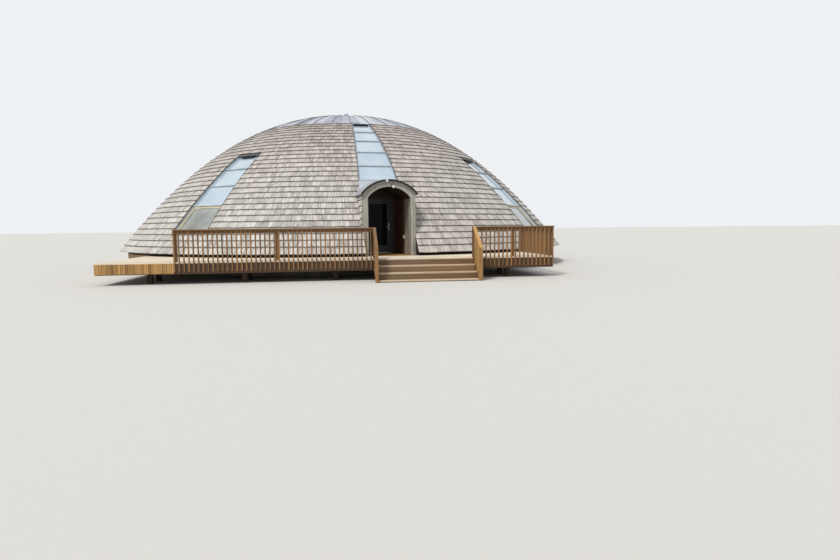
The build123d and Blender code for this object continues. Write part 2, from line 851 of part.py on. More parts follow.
# Railings: balusters on the rim's face, a board on edge and a flat cap
rail_level = deck_height + rail_height
cap_foot = rail_level - rail_cap_thickness
outer_face = deck_front + baluster_width
post_foot = deck_height


def railing_along_x(low_x, high_x):
    """Railing on the deck's front edge."""
    front = -outer_face
    inner = -deck_front
    beam(low_x, high_x, inner - rail_cap_width / 2, inner + rail_cap_width / 2, cap_foot, rail_level)
    beam(low_x, high_x, inner, inner + baluster_width, cap_foot - rail_board_height, cap_foot)
    count = int((high_x - low_x) // baluster_pitch)
    spare = (high_x - low_x - baluster_width) / count
    for baluster in range(count + 1):
        low = low_x + spare * baluster
        beam(low, low + baluster_width, front, inner, deck_height - baluster_drop, cap_foot)
    for low in (low_x, (low_x + high_x - rail_post_width) / 2, high_x - rail_post_width):
        beam(low, low + rail_post_width, inner, inner + rail_post_width, post_foot, cap_foot)


with BuildPart() as front_railing_left:
    railing_along_x(-rail_start, stair_left - stair_side_gap)
save(front_railing_left, "front_railing_left")
with BuildPart() as front_railing_right:
    railing_along_x(stair_right + stair_side_gap, deck_right)
save(front_railing_right, "front_railing_right")
with BuildPart() as side_railing_right:
    rail_back = -sqrt((dome_radius + rail_wall_gap) ** 2 - (deck_right - rail_cap_width / 2) ** 2)
    low_y = -deck_front + rail_cap_width / 2
    cap_low = deck_right - rail_cap_width / 2
    beam(cap_low, cap_low + rail_cap_width, low_y, rail_back, cap_foot, rail_level)
    board_low = deck_right - baluster_width
    board_foot_level = cap_foot - rail_board_height
    beam(board_low, deck_right, low_y + rail_post_width, rail_back, board_foot_level, cap_foot)
    side_length = rail_back - low_y
    side_count = int(side_length // baluster_pitch)
    for baluster in range(side_count + 1):
        low = low_y + (side_length - baluster_width) * baluster / side_count
        high = low + baluster_width
        beam(deck_right, deck_right + baluster_width, low, high, deck_height - baluster_drop, cap_foot)
    post_low = deck_right - rail_post_width
    beam(post_low, deck_right, rail_back - rail_post_width, rail_back, post_foot, cap_foot)
save(side_railing_right, "side_railing_right")

# Steps down to the ground: stringers, risers, treads
with BuildPart() as stair_treads:
    for step in range(1, tread_count + 1):
        top = deck_height - step * riser_height
        thickness = min(tread_thickness, top)
        back = -deck_front - (step - 1) * tread_run
        beam(stair_left, stair_right, back - tread_run - nosing, back - riser_thickness, top - thickness, top)
save(stair_treads, "stair_treads")
with BuildPart() as stair_risers:
    for step in range(tread_count):
        top = deck_height - step * riser_height - (tread_thickness if step else board_thickness)
        foot = max(deck_height - (step + 1) * riser_height - tread_thickness, 0)
        face = -deck_front - step * tread_run
        beam(stair_left, stair_right, face - riser_thickness, face, foot, top)
save(stair_risers, "stair_risers")
with BuildPart() as stair_stringers:
    for stringer in range(stringer_count):
        low = stair_left + (stair_right - stair_left - stringer_width) * stringer / (stringer_count - 1)
        for step in range(1, tread_count):
            top = deck_height - step * riser_height - tread_thickness
            back = -deck_front - (step - 1) * tread_run
            beam(low, low + stringer_width, back - tread_run, back - riser_thickness, 0, top)
save(stair_stringers, "stair_stringers")

# Sloping handrails beside the steps, with close upright boards, a foot rail and a newel
stair_run = tread_count * tread_run
fall_slope = riser_height / tread_run


def slope_level(level, place_y):
    """Level of a line that falls with the steps from the deck's front edge."""
    return level - fall_slope * (-deck_front - place_y)


def sloping_piece(low_x, high_x, back, front, top_level, foot_level):
    """Piece between two sloping lines, from its back to its front."""
    foot_back = max(slope_level(foot_level, back), 0)
    foot_front = max(slope_level(foot_level, front), 0)
    with BuildSketch(Plane.YZ.offset(low_x)) as section:
        Polygon(
            (back, foot_back),
            (back, slope_level(top_level, back)),
            (front, slope_level(top_level, front)),
            (front, foot_front),
            align=None,
        )
    extrude(section.sketch, amount=high_x - low_x)


def stair_side(low_x):
    """Handrail, boards, foot rail and newel on one side of the steps."""
    high_x = low_x + rail_post_width
    middle = (low_x + high_x) / 2
    back = -deck_front - rail_cap_width / 2
    handrail_level = rail_level + fall_slope * rail_cap_width / 2
    newel_back = -deck_front - stair_run
    newel_front = newel_back - rail_post_width
    under_cap = handrail_level - rail_cap_thickness
    panel_foot = deck_height - panel_drop
    sloping_piece(
        middle - handrail_width / 2, middle + handrail_width / 2, back, newel_front, handrail_level, under_cap
    )
    sloping_piece(low_x, high_x, newel_back, newel_front, under_cap, -rail_level)
    sloping_piece(
        middle - baluster_width / 2,
        middle + baluster_width / 2,
        back,
        newel_back,
        panel_foot + panel_rail_height,
        panel_foot,
    )
    panel_run = back - newel_back
    count = int(panel_run // (panel_board_width + panel_board_gap))
    for board in range(count):
        board_back = back - panel_run * board / count
        board_front = back - panel_run * (board + 1) / count + panel_board_gap
        board_low = middle - baluster_width / 2
        sloping_piece(board_low, board_low + baluster_width, board_back, board_front, under_cap, panel_foot)


with BuildPart() as stair_rail_left:
    stair_side(stair_left - stair_side_gap - rail_post_width)
save(stair_rail_left, "stair_rail_left")
with BuildPart() as stair_rail_right:
    stair_side(stair_right + stair_side_gap)
save(stair_rail_right, "stair_rail_right")
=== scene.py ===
import math
import random
from bisect import bisect_left

import bmesh
import bpy
from mathutils import Matrix, Vector


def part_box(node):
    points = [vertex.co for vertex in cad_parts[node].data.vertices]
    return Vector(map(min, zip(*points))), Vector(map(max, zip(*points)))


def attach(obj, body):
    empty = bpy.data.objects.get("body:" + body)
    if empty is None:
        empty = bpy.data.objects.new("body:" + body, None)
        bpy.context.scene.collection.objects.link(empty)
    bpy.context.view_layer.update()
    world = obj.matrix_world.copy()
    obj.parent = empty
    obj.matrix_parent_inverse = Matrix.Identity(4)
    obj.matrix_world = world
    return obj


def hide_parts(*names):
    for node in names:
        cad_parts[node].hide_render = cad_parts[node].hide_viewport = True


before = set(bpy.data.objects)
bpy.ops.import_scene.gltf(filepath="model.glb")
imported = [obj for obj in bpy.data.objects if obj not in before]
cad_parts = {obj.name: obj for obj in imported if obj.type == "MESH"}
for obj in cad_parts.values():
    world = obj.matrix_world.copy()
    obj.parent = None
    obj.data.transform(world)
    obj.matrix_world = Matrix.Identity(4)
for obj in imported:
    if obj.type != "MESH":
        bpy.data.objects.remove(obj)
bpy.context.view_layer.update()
scene = bpy.context.scene


# Concrete slab: a round ground slab, poured in place and floated smooth at its rim. It carries the floor
# platform and shows only as a low grey edge in the shade under the eave.
class Wire:
    """One output of a finish's nodes. Arithmetic on it adds Math nodes."""

    def __init__(self, finish, socket):
        self.finish = finish
        self.socket = socket

    def maths(self, operation, *others):
        return self.finish.node("ShaderNodeMath", {"operation": operation}, dict(enumerate((self, *others))))

    def __add__(self, other):
        return self.maths("ADD", other)

    def __rsub__(self, other):
        return self.finish.node("ShaderNodeMath", {"operation": "SUBTRACT"}, {0: other, 1: self})

    def __mul__(self, other):
        return self.maths("MULTIPLY", other)

    def over(self, low, high):
        """0 below a low value, 1 above a high one, and straight between them."""
        return self.finish.node("ShaderNodeMapRange", {}, {0: self, 1: low, 2: high})

    def chance(self):
        """A random number from 0 to 1 for each whole value."""
        whole = self.maths("FLOOR")
        return self.finish.node("ShaderNodeTexWhiteNoise", {"noise_dimensions": "1D"}, {"W": whole})


class Finish:
    """A surface finish: one principled shader and the nodes that vary it."""

    def __init__(self, name, **constants):
        self.material = bpy.data.materials.new(name)
        self.material.use_nodes = True
        self.tree = self.material.node_tree
        self.shader = self.tree.nodes["Principled BSDF"]
        for socket, value in constants.items():
            self.shader.inputs[socket.replace("_", " ")].default_value = value

    def node(self, kind, settings, sockets, output=0):
        """Adds a node: its settings first, then the values or links of its sockets."""
        made = self.tree.nodes.new(kind)
        for name, value in settings.items():
            if name == "stops":
                for position, colour in value[1:-1]:
                    made.color_ramp.elements.new(position).color = colour
                for index in (0, -1):
                    stop = made.color_ramp.elements[index]
                    stop.position, stop.color = value[index]
            else:
                setattr(made, name, value)
        for socket, value in sockets.items():
            if isinstance(value, Wire):
                self.tree.links.new(value.socket, made.inputs[socket])
            else:
                made.inputs[socket].default_value = value
        return Wire(self, made.outputs[output])

    def place(self, scale=(1, 1, 1), turn=0):
        """Object coordinates, turned about the upright axis and scaled along each axis."""
        spot = self.node("ShaderNodeTexCoord", {}, {}, 3)
        turned = self.node("ShaderNodeMapping", {}, {"Vector": spot, "Rotation": (0, 0, math.radians(turn))})
        return self.node("ShaderNodeMapping", {}, {"Vector": turned, "Scale": scale})

    def along(self, scale):
        """Coordinates along and across a board's own grain, scaled along each axis."""
        spot = self.node("ShaderNodeAttribute", {"attribute_name": "grain"}, {}, 1)
        return self.node("ShaderNodeMapping", {}, {"Vector": spot, "Scale": scale})

    def own(self, name):
        """A number that each board or shake carries with it."""
        return self.node("ShaderNodeAttribute", {"attribute_name": name}, {}, 2)

    def noise(self, vector, scale, detail=3.0, rough=0.5):
        sockets = {"Vector": vector, "Scale": scale, "Detail": detail, "Roughness": rough}
        return self.node("ShaderNodeTexNoise", {}, sockets)

    def axis(self, vector, name):
        return self.node("ShaderNodeSeparateXYZ", {}, {0: vector}, "XYZ".index(name))

    def ramp(self, value, *stops):
        """Colours between stops, each a position and a screen colour."""
        painted = [(position, paint(*colour)) for position, colour in stops]
        return self.node("ShaderNodeValToRGB", {"stops": painted}, {0: value})

    def mix(self, factor, first, second):
        return self.node("ShaderNodeMix", {"data_type": "RGBA"}, {0: factor, 6: first, 7: second}, 2)

    def surface(self, colour, roughness=None, relief=None, depth=0.002):
        """Links what varies: colour, roughness, and a relief whose depth is in metres."""
        self.tree.links.new(colour.socket, self.shader.inputs["Base Color"])
        if roughness:
            self.tree.links.new(roughness.socket, self.shader.inputs["Roughness"])
        if relief:
            bump = self.node("ShaderNodeBump", {}, {"Height": relief, "Distance": depth})
            self.tree.links.new(bump.socket, self.shader.inputs["Normal"])


def paint(*screen):
    """A colour written as screen values, for a shader socket."""
    return (*((v / 255 / 12.92) if v <= 10 else ((v / 255 + 0.055) / 1.055) ** 2.4 for v in screen), 1.0)


def patterned(
    name, dark, light, coarse, fine=None, share=0, ends=(0.3, 0.7), gloss=None, depth=0.001, turn=0,
    **constants,
):
    """A finish between two colours, mixed by a coarse noise and a share of a fine one. Each noise is a
    stretch, a scale and its detail. The finer one gives the relief; gloss is the roughness's swing and base."""
    made = Finish(name, **constants)
    large = small = made.noise(made.place(coarse[0], turn), *coarse[1:])
    if fine:
        small = made.noise(made.place(fine[0], turn), *fine[1:])
    mixed = large * (1 - share) + small * share if share else large
    colour = made.ramp(mixed, (ends[0], dark), (ends[1], light))
    made.surface(colour, large * gloss[0] + gloss[1] if gloss else None, small if depth else None, depth)
    return made


def dress(finish, *nodes):
    """Gives carried-over nodes their finish."""
    for node in nodes:
        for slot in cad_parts[node].material_slots:
            slot.material = finish.material


even = (1, 1, 1)
concrete = patterned(
    "concrete", (112, 110, 105), (160, 157, 149), (even, 1.4, 6.0, 0.6), (even, 60.0, 4.0, 0.7), 0.3,
    depth=0.002, Roughness=0.9,
)
dress(concrete, "foundation_slab")


# Floor platform: timber joists closed by a round rim, with square-edged softwood boards laid over it. The rim
# is faced with upright stained boards, nailed side by side all round, except where the deck meets it.
def block(bm, place, size, ease, segments):
    """A block about a matrix's origin, with rounded edges; its vertices are returned."""
    cube = bmesh.ops.create_cube(bm, size=1, matrix=place @ Matrix.Diagonal((*size, 1)))["verts"]
    eased = bmesh.ops.bevel(
        bm, geom=list({edge for vert in cube for edge in vert.link_edges}), offset=ease, offset_type="OFFSET",
        segments=segments, profile=0.5, affect="EDGES", material=-1,
    )
    return list({vert for face in eased["faces"] for vert in face.verts})


class Lumber:
    """Boards gathered into one mesh. Each has eased edges, a tone of its own and a grain along its length."""

    def __init__(self, seed):
        self.bm = bmesh.new()
        self.grain = self.bm.loops.layers.float_vector.new("grain")
        self.tone = self.bm.faces.layers.float.new("tone")
        self.draw = random.Random(seed)

    def board(self, low, high, along=None, ease=0.003, place=None):
        """A board between two corners, turned or moved by a matrix; its vertices are returned."""
        low, high = Vector(low), Vector(high)
        size = high - low
        along = along or "xyz"[max(range(3), key=lambda side: size[side])]
        verts = block(self.bm, Matrix.Translation((low + high) / 2), size, min(ease, min(size) / 4), 1)
        order = {"x": (0, 1, 2), "y": (1, 0, 2), "z": (2, 0, 1)}[along]
        start = Vector([self.draw.uniform(0, 40) for _ in range(3)])
        tone = self.draw.random()
        for face in {face for vert in verts for face in vert.link_faces}:
            face[self.tone] = tone
            for loop in face.loops:
                spot = loop.vert.co - low
                loop[self.grain] = start + Vector([spot[side] for side in order])
        if place is not None:
            bmesh.ops.transform(self.bm, matrix=place, verts=verts)
        return verts


def add_piece(name, bm, finish, body="house", replaced=None):
    """Makes a piece from a finished bmesh, hangs it on its body's empty, and hides the node that it replaces."""
    mesh = bpy.data.meshes.new(name)
    bm.to_mesh(mesh)
    bm.free()
    made = bpy.data.objects.new(name, mesh)
    scene.collection.objects.link(made)
    mesh.materials.append(finish.material)
    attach(made, body)
    if replaced:
        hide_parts(replaced)
    return made


def outward(azimuth):
    """Level direction away from the dome's axis. Azimuth 0 is the deck's front and 90 its right side."""
    return Vector((math.sin(math.radians(azimuth)), -math.cos(math.radians(azimuth)), 0))


def sideways(azimuth):
    """Level direction of rising azimuth."""
    return Vector((math.cos(math.radians(azimuth)), math.sin(math.radians(azimuth)), 0))


def axes(origin, across, up):
    """Matrix whose x and y axes are two given directions."""
    return Matrix.Translation(origin) @ Matrix((across, up, across.cross(up))).transposed().to_4x4()


def facing(azimuth):
    """Turns x sideways and y inward, for a thing that faces away from the dome's axis."""
    return axes((0, 0, 0), sideways(azimuth), -outward(azimuth))


def stained(name, dark, light, grey, weathering, roughness=0.6):
    """Sawn softwood under a worn oil stain: grain and a tone for each board, greyed in patches."""
    made = Finish(name)
    rings = made.noise(made.along((1.1, 26.0, 26.0)), 1.0, 4.0, 0.6)
    fibre = made.noise(made.along((5.0, 160.0, 160.0)), 1.0, 2.0)
    wood = made.ramp(rings * 0.6 + fibre * 0.2 + made.own("tone") * 0.4, (0.35, dark), (0.75, light))
    worn = made.noise(made.along((0.8, 2.5, 2.5)), 1.0, 5.0, 0.65) + made.noise(made.place(), 0.35) * 0.5
    colour = made.mix(worn.over(0.62, 1.0) * weathering, wood, paint(*grey))
    made.surface(colour, fibre * 0.25 + (roughness - 0.1), rings * 0.4 + fibre * 0.6, 0.0015)
    return made


stained_timber = stained("golden stained boards", (118, 84, 40), (190, 146, 84), (160, 138, 100), 0.4)
platform_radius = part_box("floor_platform")[1].x
platform_foot, platform_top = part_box("floor_platform")[0].z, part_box("floor_boards")[1].z
deck_low, deck_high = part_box("deck_surface")
skirt_count, skirt_gap, skirt_thickness, deck_margin = 404, 0.005, 0.02, 0.1
skirt_width = math.tau * platform_radius / skirt_count - skirt_gap
skirt_boards = Lumber(3)
for index in range(skirt_count):
    azimuth = 360 * index / skirt_count
    middle = outward(azimuth) * platform_radius
    if deck_low.x - deck_margin < middle.x < deck_high.x + deck_margin and middle.y < 0:
        continue
    skirt_boards.board(
        (-skirt_width / 2, -platform_radius - skirt_thickness, platform_foot + 0.01),
        (skirt_width / 2, -platform_radius, platform_top - 0.002), "z", place=facing(azimuth),
    )
add_piece("platform_skirt", skirt_boards.bm, stained_timber)
rough_timber = patterned(
    "rough timber", (88, 66, 46), (132, 104, 74), ((2.0, 2.0, 30.0), 1.0, 4.0), depth=0.002, Roughness=0.85
)
dress(rough_timber, "floor_platform")
floor_finish = Finish("oiled floor", Roughness=0.42)
floor_rows = floor_finish.axis(floor_finish.place((1, 7.0, 1)), "Y")
floor_grain = floor_finish.noise(floor_finish.place((1.2, 40.0, 40.0)), 1.0, 4.0)
floor_joint = floor_rows.maths("FRACT").over(0.0, 0.03)
floor_wood = floor_finish.ramp(
    floor_grain * 0.6 + floor_rows.chance() * 0.4, (0.2, (150, 106, 62)), (0.8, (196, 152, 100))
)
floor_finish.surface(floor_finish.mix(floor_joint, paint(70, 48, 30), floor_wood), None, floor_joint, 0.002)
dress(floor_finish, "floor_boards")

# Base curb: a low ring of planks on the platform's edge, coloured near black as painted shade. It carries the
# foot of the shell, set back in the deep shadow under the eave, where only its dark face shows above the deck.
shade_dark = patterned(
    "tarred planks", (38, 33, 29), (74, 64, 55), ((3.0, 3.0, 50.0), 1.0, 4.0), ends=(0.3, 0.75), depth=0.002,
    Roughness=0.8,
)
dress(shade_dark, "base_curb")

# Shell: laminated ribs with boarding inside and roofing felt outside, shaped as one low curve of revolution.
# The felt shows only as the dark line beside each window strip; indoors the boards run level round the room.
shell_lining = Finish("shell lining and felt", Roughness=0.75)
shell_spot = shell_lining.place()
shell_normal = shell_lining.node("ShaderNodeNewGeometry", {}, {}, 1)
facing_out = shell_lining.node(
    "ShaderNodeVectorMath", {"operation": "DOT_PRODUCT"}, {0: shell_spot, 1: shell_normal}, 1
)
lining_joint = shell_lining.axis(shell_lining.place((1, 1, 9.0)), "Z").maths("FRACT").over(0.0, 0.06)
lining_grain = shell_lining.noise(shell_lining.place((2.0, 2.0, 60.0)), 1.0, 4.0)
lining_wood = shell_lining.ramp(lining_grain, (0.3, (176, 128, 78)), (0.7, (214, 172, 118)))
lining = shell_lining.mix(lining_joint, paint(84, 58, 34), lining_wood)
felt = shell_lining.ramp(shell_lining.noise(shell_spot, 80.0), (0.3, (34, 32, 30)), (0.7, (58, 55, 51)))
shell_lining.surface(shell_lining.mix(facing_out.over(-5.0, -4.0), lining, felt), None, lining_joint, 0.001)
gore_count = 8
gores = [f"dome_shell_{index + 1}" for index in range(gore_count)]
dress(shell_lining, *gores, "window_bay_heads", "window_bay_aprons", "crown_shell")

# Shakes: split cedar shingles, weathered to silver grey, nailed in level courses from the eave to the cap. Each
# is a taper with its thick end down, so a shadow line runs under every course; widths and tones vary. Their
# colour has a painted shadow too: darker just below the butts of the course above, and on each butt face.
dome_radius, dome_rise, dome_power, eave_level = 9.57, 5.78, 2.12, 0.735
deck_level = deck_high.z
rib_count, door_azimuth = 32, 7.0
bay_angle, gore_angle = 360 / rib_count, 360 / gore_count
shake_width, shake_length, shake_thickness, shake_wear = 0.13, 0.32, 0.023, 0.004
butt_lift, head_lift, head_thickness = 0.016, 0.002, 0.005


def skin_level(radius):
    """Level of the dome's skin at a radius."""
    return eave_level + dome_rise * (1 - (radius / dome_radius) ** dome_power)


def skin_radius(level):
    """Radius of the dome's skin at a level."""
    return dome_radius * (1 - (level - eave_level) / dome_rise) ** (1 / dome_power)


arc_steps = 600
arc_radii = [dome_radius * (1 - step / arc_steps) for step in range(arc_steps + 1)]
arc_lengths = [0.0]
for low, high in zip(arc_radii[:-1], arc_radii[1:]):
    arc_lengths.append(arc_lengths[-1] + math.hypot(low - high, skin_level(high) - skin_level(low)))


def arc_radius(length):
    """Radius of the skin at a length up the slope from the eave."""
    index = min(max(bisect_left(arc_lengths, length), 1), arc_steps)
    share = (length - arc_lengths[index - 1]) / (arc_lengths[index] - arc_lengths[index - 1])
    return arc_radii[index - 1] + (arc_radii[index] - arc_radii[index - 1]) * share


def arc_length(radius):
    """Length up the slope from the eave to a radius."""
    index = min(max(bisect_left([-r for r in arc_radii], -radius), 1), arc_steps)
    share = (arc_radii[index - 1] - radius) / (arc_radii[index - 1] - arc_radii[index])
    return arc_lengths[index - 1] + (arc_lengths[index] - arc_lengths[index - 1]) * share


def slope_frame(azimuth, low_length, high_length):
    """Matrix at a place on the skin: x level, y up the slope, z out. Its origin is at the lower length."""
    low, high = (
        outward(azimuth) * radius + Vector((0, 0, skin_level(radius)))
        for radius in (arc_radius(low_length), arc_radius(high_length))
    )
    return axes(low, sideways(azimuth), (high - low).normalized())


shake_pattern = bmesh.new()
bmesh.ops.create_cube(shake_pattern, size=1, matrix=Matrix.Translation((0, 0.5, 0.5)))
bmesh.ops.scale(shake_pattern, vec=(shake_width, shake_length, shake_thickness), verts=shake_pattern.verts)
worn_edges = [
    edge for edge in shake_pattern.edges
    if min(vert.co.z for vert in edge.verts) > shake_thickness / 2
    and min(vert.co.y for vert in edge.verts) < shake_length / 2
]
bmesh.ops.bevel(
    shake_pattern, geom=worn_edges, offset=shake_wear, offset_type="OFFSET", segments=1, profile=0.5,
    affect="EDGES", material=-1,
)
bmesh.ops.scale(
    shake_pattern, vec=(1 / shake_width, 1 / shake_length, 1 / shake_thickness), verts=shake_pattern.verts
)
shake_mesh = bpy.data.meshes.new("shake pattern")
shake_pattern.to_mesh(shake_mesh)
shake_pattern.free()

cedar = Finish("weathered cedar")
cedar_streaks = cedar.noise(cedar.along((2.2, 46.0, 46.0)), 1.0, 5.0, 0.65)
cedar_split = cedar.noise(cedar.along((1.2, 220.0, 220.0)), 1.0, 2.0)
cedar_spot = cedar.place()
cedar_value = cedar.own("tone") * 0.12 + cedar_streaks * 0.63 + cedar_split * 0.25
cedar_grey = cedar.ramp(
    cedar_value, (0.3, (104, 99, 93)), (0.42, (160, 156, 149)), (0.54, (200, 196, 189)),
    (0.68, (230, 225, 217)),
)
cedar_brown = cedar.ramp(cedar_value, (0.3, (90, 80, 76)), (0.46, (153, 142, 137)), (0.66, (209, 198, 194)))
cedar_height = cedar.axis(cedar_spot, "Z").over(2.5, 6.2)
cedar_side = cedar.axis(cedar_spot, "X").over(-8.0, 8.0)
cedar_patch = cedar.noise(cedar_spot, 0.32, 4.0, 0.55)
brown_share = (cedar_height * 0.55 + cedar_side * 0.25 + cedar_patch * 0.8).over(0.45, 1.15)
cedar_run = cedar.own("run")
# Painted shadow: darkening where each shake runs under the butts of the next course, and less of it on its own
# butt.
cedar_painted_shadow = cedar_run.over(0.66, 0.8) * 0.8 + (1 - cedar_run).over(0.96, 1.0) * 0.4
cedar_colour = cedar.mix(cedar_painted_shadow, cedar.mix(brown_share, cedar_grey, cedar_brown), paint(62, 56, 52))
cedar.surface(cedar_colour, cedar_streaks * 0.2 + 0.72, cedar_streaks * 0.5 + cedar_split * 0.5, 0.003)


class Shingling:
    """Shakes gathered into one mesh, with each shake's tone, grain and run from butt to head."""

    def __init__(self):
        self.bm = bmesh.new()
        self.grain = self.bm.loops.layers.float_vector.new("grain")
        self.run = self.bm.loops.layers.float.new("run")
        self.tone = self.bm.faces.layers.float.new("tone")

    def lay(self, matrix, length, narrowing, width, draw):
        """Lays one shake from a matrix's origin up its y axis, narrowed towards its head."""
        count = len(self.bm.verts)
        self.bm.from_mesh(shake_mesh)
        self.bm.verts.ensure_lookup_table()
        verts = self.bm.verts[count:]
        uneven = draw.uniform(-0.010, 0.006)
        thick = shake_thickness * draw.uniform(0.65, 1.25)
        skew = draw.uniform(-0.004, 0.004)
        tone = draw.random()
        start = Vector([draw.uniform(0, 50) for _ in range(3)])
        for vert in verts:
            share = vert.co.y
            side = vert.co.x * width * (1 + (narrowing - 1) * share)
            foot = butt_lift * (1 - share) + head_lift * share
            depth = thick * (1 - share) + head_thickness * share
            up = length * share + (uneven + skew * math.copysign(1, side)) * (1 - share)
            vert.co = Vector((side, up, foot + depth * vert.co.z))
        for face in {face for vert in verts for face in vert.link_faces}:
            face[self.tone] = tone
            for loop in face.loops:
                spot = loop.vert.co
                loop[self.grain] = start + Vector((spot.y, spot.x, spot.z))
                loop[self.run] = spot.y / length
        for vert in verts:
            vert.co = matrix @ vert.co


course_exposure, course_lap, least_course, eave_drop = 0.268, 0.055, 0.06, 0.03
shake_gap, narrowest, widest, narrowest_last, least_width = 0.006, 0.07, 0.19, 0.08, 0.03
sill_gap, head_gap, strip_overlap = 0.004, 0.01, 0.03
front_foot_height, side_sill_height, side_head_height = 1.8, 0.76, 3.7
cap_edge = arc_length(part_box("crown_shell")[1].x)
front_foot, side_sill, side_head = (
    arc_length(skin_radius(deck_level + height))
    for height in (front_foot_height, side_sill_height, side_head_height)
)
shinglings = [Shingling() for _ in range(gore_count)]
porch_shingling = Shingling()
shake_draw = random.Random(11)
for course in range(math.ceil(cap_edge / course_exposure)):
    foot = course * course_exposure - (0 if course else eave_drop)
    high = min((course + 1) * course_exposure, cap_edge)
    top = high + course_lap
    runs = []
    for bay in range(gore_count):
        sill, head = (side_sill, side_head) if bay else (front_foot, cap_edge + 1)
        start = door_azimuth + bay * gore_angle - bay_angle / 2
        parts = []
        if foot < sill - least_course:
            parts.append((start, start + bay_angle, foot, min(top, sill - sill_gap)))
        if high > head + least_course:
            parts.append((start, start + bay_angle, max(foot, head + head_gap), top))
        for part in (*parts, (start + bay_angle, start + gore_angle, foot, top)):
            last = runs[-1] if bay and runs else None
            if last and part[0] == last[1] and part[2:] == last[2:]:
                runs[-1] = (last[0], *part[1:])
            else:
                runs.append(part)
    for start, end, foot, top in runs:
        radius = arc_radius(foot)
        spot, stop = math.radians(start) * radius - strip_overlap, math.radians(end) * radius + strip_overlap
        while stop - spot > least_width:
            width = shake_draw.uniform(narrowest, widest)
            if stop - spot - width < narrowest_last:
                width = stop - spot
            azimuth = math.degrees((spot + width / 2) / radius)
            in_porch = abs(azimuth - door_azimuth) < bay_angle / 2
            gore = int((azimuth - door_azimuth + gore_angle / 2) % 360 // gore_angle)
            target = porch_shingling if in_porch else shinglings[gore]
            place = slope_frame(azimuth, foot, top)
            target.lay(place, top - foot, arc_radius(top) / arc_radius(foot), width - shake_gap, shake_draw)
            spot += width
for index, shingling in enumerate(shinglings):
    add_piece(f"shakes_{index + 1}", shingling.bm, cedar)


# Shakes beside the porch: the same courses, trimmed on site to the porch's walls and its curved roof. The
# outsides of the walls are shingled too, in closer courses that start at the deck.
def carve(made, bm):
    """Cuts a closed bmesh out of a piece."""
    bmesh.ops.recalc_face_normals(bm, faces=bm.faces)
    cutter = bpy.data.objects.new("cutter", bpy.data.meshes.new("cutter"))
    bm.to_mesh(cutter.data)
    bm.free()
    scene.collection.objects.link(cutter)
    cut = made.modifiers.new("cut", "BOOLEAN")
    cut.operation = "DIFFERENCE"
    cut.solver = "EXACT"
    cut.object = cutter
    depsgraph = bpy.context.evaluated_depsgraph_get()
    shaped = bpy.data.meshes.new_from_object(
        made.evaluated_get(depsgraph), preserve_all_data_layers=True, depsgraph=depsgraph
    )
    made.modifiers.clear()
    made.data = shaped
    bpy.data.objects.remove(cutter)


def curve_radius(half_width, rise):
    """Radius of an arch of a given half width and rise."""
    return (half_width**2 + rise**2) / (2 * rise)


porch_frame = facing(door_azimuth)
porch_front, porch_back = 9.15, 6.8
outer_half_width, outer_spring, outer_apex = 0.855, deck_level + 2.01, deck_level + 2.395
arch_radius = curve_radius(outer_half_width, outer_apex - outer_spring)
arch_centre = outer_apex - arch_radius
porch_roof_thickness, trim_gap = 0.045, 0.006
cut_depth, cut_height, cut_rise, roof_end = 6, outer_spring - deck_level + 1.0, 0.15, outer_spring - 0.065


def trim_to_porch(made):
    """Cuts a piece along the outside of the porch's walls and of its roof."""
    walls = bmesh.new()
    middle = Matrix.Translation((0, -dome_radius, outer_spring - cut_height / 2 + cut_rise))
    size = Matrix.Diagonal((2 * (outer_half_width + trim_gap), cut_depth, cut_height, 1))
    bmesh.ops.create_cube(walls, size=1, matrix=porch_frame @ middle @ size)
    carve(made, walls)
    vault = bmesh.new()
    radius = arch_radius + porch_roof_thickness + trim_gap
    bmesh.ops.create_circle(vault, cap_ends=True, segments=96, radius=radius)
    bmesh.ops.rotate(vault, verts=vault.verts, matrix=Matrix.Rotation(math.radians(90), 3, "X"))
    bmesh.ops.translate(vault, verts=vault.verts, vec=(0, -dome_radius - cut_depth / 2, arch_centre))
    bmesh.ops.bisect_plane(
        vault, geom=vault.verts[:] + vault.edges[:] + vault.faces[:], plane_co=(0, 0, roof_end),
        plane_no=(0, 0, 1), clear_inner=True,
    )
    drawn = bmesh.ops.extrude_face_region(vault, geom=vault.faces[:])["geom"]
    moved = [item for item in drawn if isinstance(item, bmesh.types.BMVert)]
    bmesh.ops.translate(vault, verts=moved, vec=(0, cut_depth, 0))
    bmesh.ops.transform(vault, matrix=porch_frame, verts=vault.verts)
    carve(made, vault)


trim_to_porch(add_piece("shakes_by_porch", porch_shingling.bm, cedar))
cheek_shingling = Shingling()
cheek_exposure, cheek_lap, cheek_courses = 0.2, 0.05, 10
cheek_front, cheek_top, cheek_gap = porch_front - 0.055, outer_spring - 0.06, 0.02
for side in (-1, 1):
    wall = Matrix(((0, 0, side, 0), (side, 0, 0, 0), (0, 1, 0, 0), (0, 0, 0, 1)))
    for course in range(cheek_courses):
        foot = deck_level + 0.015 + course * cheek_exposure
        length = min(cheek_exposure + cheek_lap, cheek_top - foot)
        spot = math.sqrt(skin_radius(foot + cheek_exposure / 2) ** 2 - outer_half_width**2) + cheek_gap
        while cheek_front - spot > least_width and length > cheek_lap:
            width = min(shake_draw.uniform(narrowest, widest), cheek_front - spot)
            middle = Matrix.Translation((side * outer_half_width, -spot - width / 2, foot))
            cheek_shingling.lay(porch_frame @ middle @ wall, length, 1.0, width - shake_gap, shake_draw)
            spot += width
add_piece("cheek_shakes", cheek_shingling.bm, cedar)


